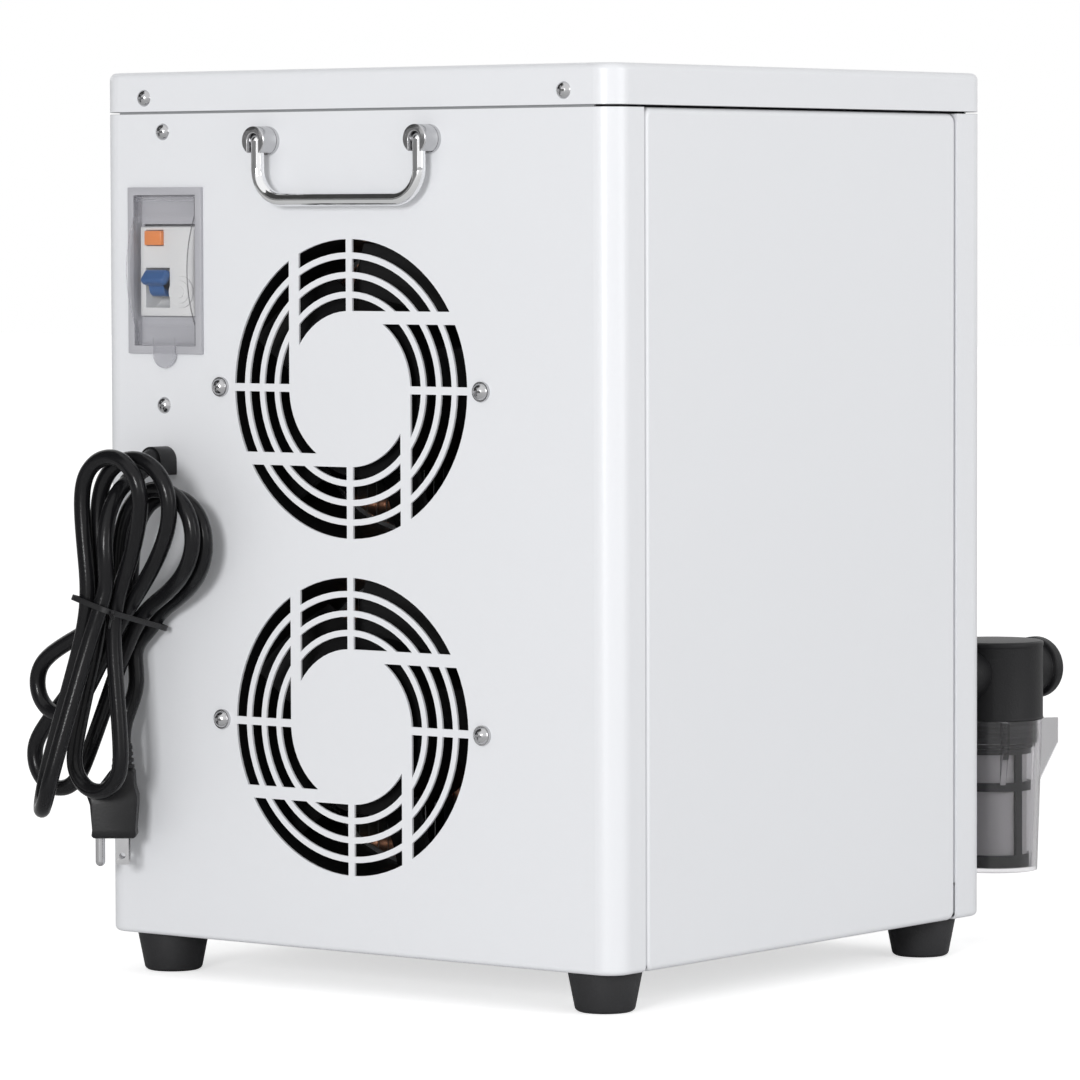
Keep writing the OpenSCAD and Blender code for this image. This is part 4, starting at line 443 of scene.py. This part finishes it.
# Feet: a tapered block of black rubber under each corner, moulded with a rounded sole and held to the
# tray by a sunk screw. The compressor's mounts and the bowl's seal are of the same rubber.
foot_rubber = grained("black foot rubber", (0.024, 0.024, 0.026), (0.016, 0.016, 0.017), 900.0, 0.18,
                      0.5, 0.68, Specular_IOR_Level=0.35)
foot_profile = [(2.7, 8), (6.5, 8), (6.5, 0), (12.6, 0), (14.3, 1.2), (18, 20), (2.7, 20)]
for name in ("foot_fan_left", "foot_fan_right", "foot_front_left", "foot_front_right"):
    low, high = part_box(name)
    spot = Matrix.Translation(((low[0] + high[0]) / 2, (low[1] + high[1]) / 2, low[2]))
    foot = turned(foot_profile, radius=0.8, matrix=spot)
    piece("rubber_" + name, foot, "cabinet", foot_rubber, "black_rubber", name, smooth=50)
dress(foot_rubber, "compressor_mounts", "bowl_seal")


# Breaker window: a pale grey moulded bezel with a mask round the breaker's nose, clipped in the panel.
# A clear bulged flap hangs from its top, seen by its cut edges, its tab and where it curves away.
# The dark line along its right cut edge is painted shade.
def softened(name, radius, segments=2, sharp=30):
    """A merged copy of a CAD node's mesh with its sharp edges rounded."""
    shape = bmesh.new()
    shape.from_mesh(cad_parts[name].data)
    bmesh.ops.remove_doubles(shape, verts=shape.verts[:], dist=1e-5)
    bmesh.ops.dissolve_limit(shape, angle_limit=radians(0.5), verts=shape.verts[:], edges=shape.edges[:])
    rounded(shape, radius, sharp, segments)
    return shape


def ranged(tree, value, low, high, at_low, at_high):
    """A value's way from low to high, mapped to the way from at_low to at_high."""
    return add(tree, "MapRange", enumerate((value, low, high, at_low, at_high))).outputs[0]


window_x, window_z = -0.1158, 0.3495
bezel_grey = grained("pale bezel plastic", (0.47, 0.47, 0.50), (0.44, 0.44, 0.47), 600.0, 0.05, 0.25, 0.35)
bezel = softened("breaker_bezel", radius=0.0003)
piece("window_bezel", bezel, "cabinet", bezel_grey, "bezel_plastic", "breaker_bezel")
clear_flap = grained("clear flap plastic", (0.60, 0.60, 0.64), (0.56, 0.56, 0.60), 300.0, 0.01,
                     0.05, 0.12, IOR=1.46)
bulge_y, bulge_r, tab_top = -0.14275, 0.06375, 0.3125
edge_width, painted_edge_shade = 0.0009, (0.12, 0.12, 0.13, 1)
right_veil, left_veil, tab_veil, clear_veil, grazing_veil = 0.55, 0.3, 0.35, 0.03, 0.6
flap_low, flap_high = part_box("breaker_flap")
tree = clear_flap.node_tree
place = add(tree, "TexCoord").outputs["Object"]
across, _, up = add(tree, "SeparateXYZ", ((0, place),)).outputs
from_axis = add(tree, "Mapping", (("Vector", place), ("Location", (0, -bulge_y, -window_z)),
                                  ("Scale", (0, 1, 1))))
reach = add(tree, "VectorMath", ((0, from_axis.outputs[0]),), operation="LENGTH").outputs["Value"]
at_front = worked(tree, "GREATER_THAN", reach, bulge_r - edge_width)
at_right = worked(tree, "GREATER_THAN", across, flap_high[0] - edge_width)
at_left = worked(tree, "LESS_THAN", across, flap_low[0] + edge_width)
on_tab = worked(tree, "LESS_THAN", up, tab_top)
right_line = worked(tree, "MULTIPLY", at_front, at_right)
left_line = worked(tree, "MULTIPLY", at_front, at_left)
grazing = add(tree, "LayerWeight", (("Blend", 0.35),)).outputs["Facing"]
veil = ranged(tree, grazing, 0.2, 0.5, clear_veil, grazing_veil)
for mask, share in ((right_line, right_veil), (left_line, left_veil), (on_tab, tab_veil)):
    veil = worked(tree, "MULTIPLY_ADD", mask, share, veil, use_clamp=True)
feed(tree, veil, "Alpha")
# The right cut edge gets painted shade: a dark tone where the clear wall curves away.
feed(tree, mixed(tree, right_line, tree.nodes["grain"].outputs["Color"], painted_edge_shade), "Base Color")
dress(clear_flap, "breaker_flap")

# Breaker: a white moulded case that clips on the rail, its nose standing through the window's mask.
# On the nose are an orange test button, a blue toggle on a round hub, and a round stepped housing.
case_white = grained("breaker case plastic", (0.74, 0.74, 0.74), (0.70, 0.70, 0.70), 500.0, 0.08, 0.35, 0.5)
nose_front, nose_root, nose_top = -0.1975, -0.19, window_z + 0.0225
top_band, top_gap = 0.0006, 0.0011
breaker_case = softened("breaker_body", radius=0.0004)
# A gap shows between the nose's top and the mask, so that edge comes down by it.
for v in breaker_case.verts:
    if v.co.y < nose_root and v.co.z > nose_top - top_band:
        v.co.z -= top_gap
housing_x, housing_z, step_depth = window_x + 0.0088, window_z - 0.0106, 0.002
for r, out in ((8.2, 0.9), (6.0, 1.5), (3.2, 2.0)):
    step = bmesh.ops.create_cone(breaker_case, cap_ends=True, segments=48, radius1=mm * r,
                                 radius2=mm * (r - 0.5), depth=step_depth)["verts"]
    spot = Matrix.Translation((housing_x, nose_front + step_depth / 2 - mm * out, housing_z))
    bmesh.ops.transform(breaker_case, verts=step, matrix=spot @ Matrix.Rotation(pi / 2, 4, "X"))
piece("breaker_case", breaker_case, "cabinet", case_white, "breaker_white", "breaker_body")

toggle_blue = grained("blue toggle plastic", (0.030, 0.115, 0.31), (0.024, 0.095, 0.27), 500.0, 0.05,
                      0.28, 0.4)
toggle_place, toggle_turn = (-0.1228, -0.194, 0.341), radians(-40)
hub_r, hub_width, stem_depth, stem_height, tip_size, tip_round = 4.4, 9.6, 5.0, 8.4, (15.6, 7.8, 4.8), 1.9
toggle = bmesh.new()
bmesh.ops.create_cone(toggle, cap_ends=True, segments=40, radius1=hub_r, radius2=hub_r, depth=hub_width,
                      matrix=Matrix.Rotation(pi / 2, 4, "Y"))
bmesh.ops.create_cube(toggle, size=1.0, matrix=Matrix.Translation((0, 0, stem_height / 2))
                      @ Matrix.Diagonal((hub_width, stem_depth, stem_height, 1)))
tip = bmesh.ops.create_cube(toggle, size=1.0, matrix=Matrix.Translation((-0.2, 1.0, 6.7))
                            @ Matrix.Diagonal((*tip_size, 1)))["verts"]
tip_edges = list(dict.fromkeys(e for v in tip for e in v.link_edges))
bmesh.ops.bevel(toggle, geom=tip_edges, offset=tip_round, offset_type="OFFSET", affect="EDGES", segments=4,
                profile=0.5, material=-1, clamp_overlap=True)
spot = Matrix.Translation(toggle_place) @ Matrix.Rotation(pi / 2 + toggle_turn, 4, "X")
bmesh.ops.transform(toggle, matrix=spot @ Matrix.Scale(mm, 4), verts=toggle.verts[:])
piece("blue_toggle", toggle, "lever", toggle_blue, "lever_blue", "breaker_lever")

button_orange = grained("orange button plastic", (0.84, 0.27, 0.07), (0.78, 0.24, 0.06), 500.0, 0.05,
                        0.28, 0.4)
button = softened("test_button", radius=0.0006)
piece("orange_button", button, "button", button_orange, "button_orange", "test_button")

# Fans: frames and rotors moulded in black glass-filled plastic, one behind each grille. Two screws
# through the panel hold each frame, and the rotor turns on the motor at its middle.
fan_black = grained("fan plastic", (0.006, 0.006, 0.0065), (0.004, 0.004, 0.0045), 700.0, 0.12, 0.45, 0.6,
                    Specular_IOR_Level=0.15)
dress(fan_black, "upper_fan_frame", "upper_fan_rotor", "lower_fan_frame", "lower_fan_rotor")

# Filter head and water fittings: matt black moulded plastic. The head is one moulding with a port to
# the cabinet, a flanged port for the bath's hose, and a threaded spigot for the bowl.
matt_black = grained("matt black plastic", (0.010, 0.010, 0.011), (0.007, 0.007, 0.008), 900.0, 0.12,
                     0.42, 0.55, Specular_IOR_Level=0.25)
head_axis, port_z, head_steps, port_steps = (0.130, 0.1675), 0.1395, 72, 56
head_profile = [(0, 156.0), (25.0, 156.0), (26, 155.2), (26, 153.4), (25.7, 153.0), (25.7, 116.6),
                (26, 116.2), (26, 115.6), (22.8, 115.6), (22.8, 103.6), (15, 103.6), (15, 135.8), (0, 135.8)]
hose_port = [(9, 20), (13.5, 20), (13.5, 35.8), (15.4, 36.4), (16, 37), (16, 42.2), (15.4, 43), (9, 43)]
panel_port = [(9, 20), (13.5, 20), (13.5, 47), (9, 47)]
head_spot = Matrix.Translation((*head_axis, 0))
filter_head = turned(head_profile, radius=0.5, matrix=head_spot, steps=head_steps)
for thread_z in (112.6, 109.6, 106.6):
    ring = [filter_head.verts.new((head_axis[0] + mm * r, head_axis[1], mm * (thread_z + rise)))
            for r, rise in ((22.6, 0.9), (23.15, 0.3), (23.15, -0.3), (22.6, -0.9))]
    ring_edges = [filter_head.edges.new(pair) for pair in zip(ring, ring[1:] + ring[:1])]
    bmesh.ops.spin(filter_head, geom=ring + ring_edges, cent=(*head_axis, 0), axis=(0, 0, 1), dvec=(0, 0, 0),
                   angle=2 * pi, steps=head_steps, use_merge=True)
for sign, profile in ((1, hose_port), (-1, panel_port)):
    aim = Matrix.Translation((*head_axis, port_z)) @ Matrix.Rotation(-sign * pi / 2, 4, "X")
    joined(filter_head, turned(profile, radius=0.4, matrix=aim, steps=port_steps))
bmesh.ops.remove_doubles(filter_head, verts=filter_head.verts[:], dist=1e-6)
piece("ported_filter_head", filter_head, "cabinet", matt_black, "black_plastic", "filter_head")
dress(matt_black, "inlet_fitting", "outlet_fitting", "strainer_cage", "pump", "water_hoses")

# Bowl: one clear plastic moulding with four grip wings, slightly dull in its gloss. It screws up on
# the head's spigot against the rubber seal.
clear_bowl = grained("clear bowl plastic", (0.86, 0.85, 0.87), (0.82, 0.81, 0.83), 300.0, 0.01, 0.05, 0.11,
                     Transmission_Weight=1.0, IOR=1.46)
dress(clear_bowl, "filter_bowl")

# Strainer: stainless wire cloth, one wire over and one under, on a black moulded cage. It stands in
# the bowl and comes down with it.
weave = grained("strainer wire cloth", (0.78, 0.77, 0.77), (0.68, 0.67, 0.67), 900.0, 0.2, 0.35, 0.5,
                metallic=0.2)
upright_wires, level_wire_rate, wire_rise, between_wires = 150.0, 8600.0, 0.0003, 0.35
tree = weave.node_tree
from_axis = add(tree, "Mapping", (("Vector", add(tree, "TexCoord").outputs["Object"]),
                                  ("Location", (-head_axis[0], -head_axis[1], 0))))
across, deep, up = add(tree, "SeparateXYZ", ((0, from_axis.outputs[0]),)).outputs
way_round = worked(tree, "ARCTAN2", deep, across)
uprights = worked(tree, "SINE", worked(tree, "MULTIPLY", way_round, upright_wires))
levels = worked(tree, "SINE", worked(tree, "MULTIPLY", up, level_wire_rate))
over = worked(tree, "MULTIPLY", uprights, levels)
shade = ranged(tree, over, -1.0, 1.0, between_wires, 1.0)
cloth = mixed(tree, 1.0, tree.nodes["grain"].outputs["Color"], shade, blend_type="MULTIPLY")
lift = add(tree, "Bump", (("Height", over), ("Strength", 0.5), ("Distance", wire_rise)))
feed(tree, cloth, "Base Color")
feed(tree, lift.outputs["Normal"], "Normal")
dress(weave, "strainer_mesh")

# Display: a black moulded frame round a sunk window of dark gloss plastic. It is clipped in the front
# panel from outside.
display_window = grained("dark display window", (0.006, 0.006, 0.007), (0.005, 0.005, 0.006), 300.0, 0.004,
                         0.03, 0.06)
window_margin, window_sunk = 0.0035, 0.0006
display = softened("display_module", radius=0.0008)
window_face = max(display.faces, key=lambda f: f.calc_center_median().y)
bmesh.ops.inset_region(display, faces=[window_face], thickness=window_margin, depth=0)
bmesh.ops.translate(display, vec=(0, -window_sunk, 0), verts=window_face.verts[:])
window_face.material_index = 1
display_panel = piece("display_panel", display, "cabinet", matt_black, "black_plastic", "display_module")
display_panel.data.materials.append(display_window)

# Works inside: black painted steel compressor, plastic evaporator shell, copper and titanium tube,
# aluminium fins and can, and a green circuit board behind the display.
black_paint = grained("black enamel", (0.02, 0.02, 0.021), (0.014, 0.014, 0.015), 250.0, 0.08, 0.25, 0.4,
                      Specular_IOR_Level=0.4)
dress(black_paint, "compressor", "evaporator_shell")
fin_aluminium = grained("fin aluminium", (0.68, 0.69, 0.70), (0.56, 0.57, 0.58), 300.0, 0.04, 0.25, 0.4,
                        metallic=1.0)
dress(fin_aluminium, "condenser_fins", "capacitor")
copper = grained("copper tube", (0.72, 0.36, 0.22), (0.55, 0.25, 0.15), 200.0, 0.04, 0.25, 0.42, metallic=1.0)
dress(copper, "condenser_tubes", "filter_drier", "refrigerant_lines")
titanium = grained("titanium tube", (0.42, 0.40, 0.38), (0.35, 0.33, 0.32), 200.0, 0.04, 0.3, 0.45,
                   metallic=1.0)
dress(titanium, "evaporator_coil")
board_green = grained("circuit board", (0.03, 0.22, 0.10), (0.02, 0.15, 0.07), 300.0, 0.05, 0.35, 0.5)
dress(board_green, "control_board")


# Studio: a pale floor and a white surround, which camera, gloss and glass see at full strength. A soft
# lamp stands in front of the fan face, a little to the right, and a weaker one on the right.
def matt_paint(name, tone, rough):
    paint = bpy.data.materials.new(name)
    paint.use_nodes = True
    shader = paint.node_tree.nodes["Principled BSDF"]
    shader.inputs["Base Color"].default_value = (tone, tone, tone, 1)
    shader.inputs["Roughness"].default_value = rough
    return paint


def staged(name, shape, material):
    """Turns a finished bmesh into an object of the studio, which is no part of the chiller."""
    mesh = bpy.data.meshes.new(name)
    shape.to_mesh(mesh)
    shape.free()
    mesh.materials.append(material)
    made = bpy.data.objects.new(name, mesh)
    scene.collection.objects.link(made)
    return made


fill_strength, seen_strength, floor_glow, floor_half = 0.50, 1.0, 0.6, 12.0
world = bpy.data.worlds.new("studio")
scene.world = world
world.use_nodes = True
tree = world.node_tree
sky = tree.nodes["Background"]
sky.inputs["Color"].default_value = (1, 1, 1, 1)
ray = add(tree, "LightPath").outputs
seen = worked(tree, "MAXIMUM", ray["Is Camera Ray"], ray["Is Glossy Ray"])
seen = worked(tree, "MAXIMUM", seen, ray["Is Transmission Ray"])
tree.links.new(ranged(tree, seen, 0.0, 1.0, fill_strength, seen_strength), sky.inputs["Strength"])

floor_paint = matt_paint("pale floor", tone=0.85, rough=0.9)
tree = floor_paint.node_tree
glow_strength = worked(tree, "MULTIPLY", add(tree, "LightPath").outputs["Is Camera Ray"], floor_glow)
glow = add(tree, "Emission", (("Strength", glow_strength),)).outputs["Emission"]
lit = add(tree, "AddShader", ((0, tree.nodes["Principled BSDF"].outputs["BSDF"]), (1, glow)))
tree.links.new(lit.outputs[0], tree.nodes["Material Output"].inputs["Surface"])
floor = bmesh.new()
bmesh.ops.create_grid(floor, x_segments=1, y_segments=1, size=floor_half)
staged("floor", floor, floor_paint)

for name, place, size, power in (("key soft box", (1.45, -4.4, 1.05), 1.0, 96.0),
                                 ("right soft box", (3.0, 0.4, 1.0), 1.6, 24.0)):
    lamp_data = bpy.data.lights.new(name, "AREA")
    lamp_data.size = size
    lamp_data.energy = power
    lamp = bpy.data.objects.new(name, lamp_data)
    scene.collection.objects.link(lamp)
    lamp.location = place
    lamp.rotation_euler = (Vector((0, 0, 0.25)) - Vector(place)).to_track_quat("-Z", "Y").to_euler()


# Flags that only the polished metal and glossy plastic reflect: a curved grey one round the left
# side at the object's height, and a dark one above it.
def flag(name, shape, tone):
    made = staged(name, shape, matt_paint(name, tone, rough=1.0))
    made.visible_camera = made.visible_diffuse = made.visible_shadow = made.visible_transmission = False


curve_r, curve_start, curve_sweep = 2.2, radians(-79), radians(-125)
curved = bmesh.new()
first = [curved.verts.new((curve_r * cos(curve_start), curve_r * sin(curve_start), z)) for z in (-0.05, 0.58)]
bmesh.ops.spin(curved, geom=first + [curved.edges.new(first)], cent=(0, 0, 0), axis=(0, 0, 1), dvec=(0, 0, 0),
               angle=curve_sweep, steps=16)
flag("left_flag", curved, tone=0.34)
overhead = bmesh.new()
bmesh.ops.create_grid(overhead, x_segments=1, y_segments=1, size=0.5)
place, width, length = Vector((-1.45, -1.0, 1.75)), 2.6, 2.8
turn = (Vector((0, 0, 0.3)) - place).to_track_quat("-Z", "Y").to_matrix().to_4x4()
spot = Matrix.Translation(place) @ turn @ Matrix.Diagonal((width, length, 1, 1))
bmesh.ops.transform(overhead, verts=overhead.verts[:], matrix=spot)
flag("overhead_flag", overhead, tone=0.06)
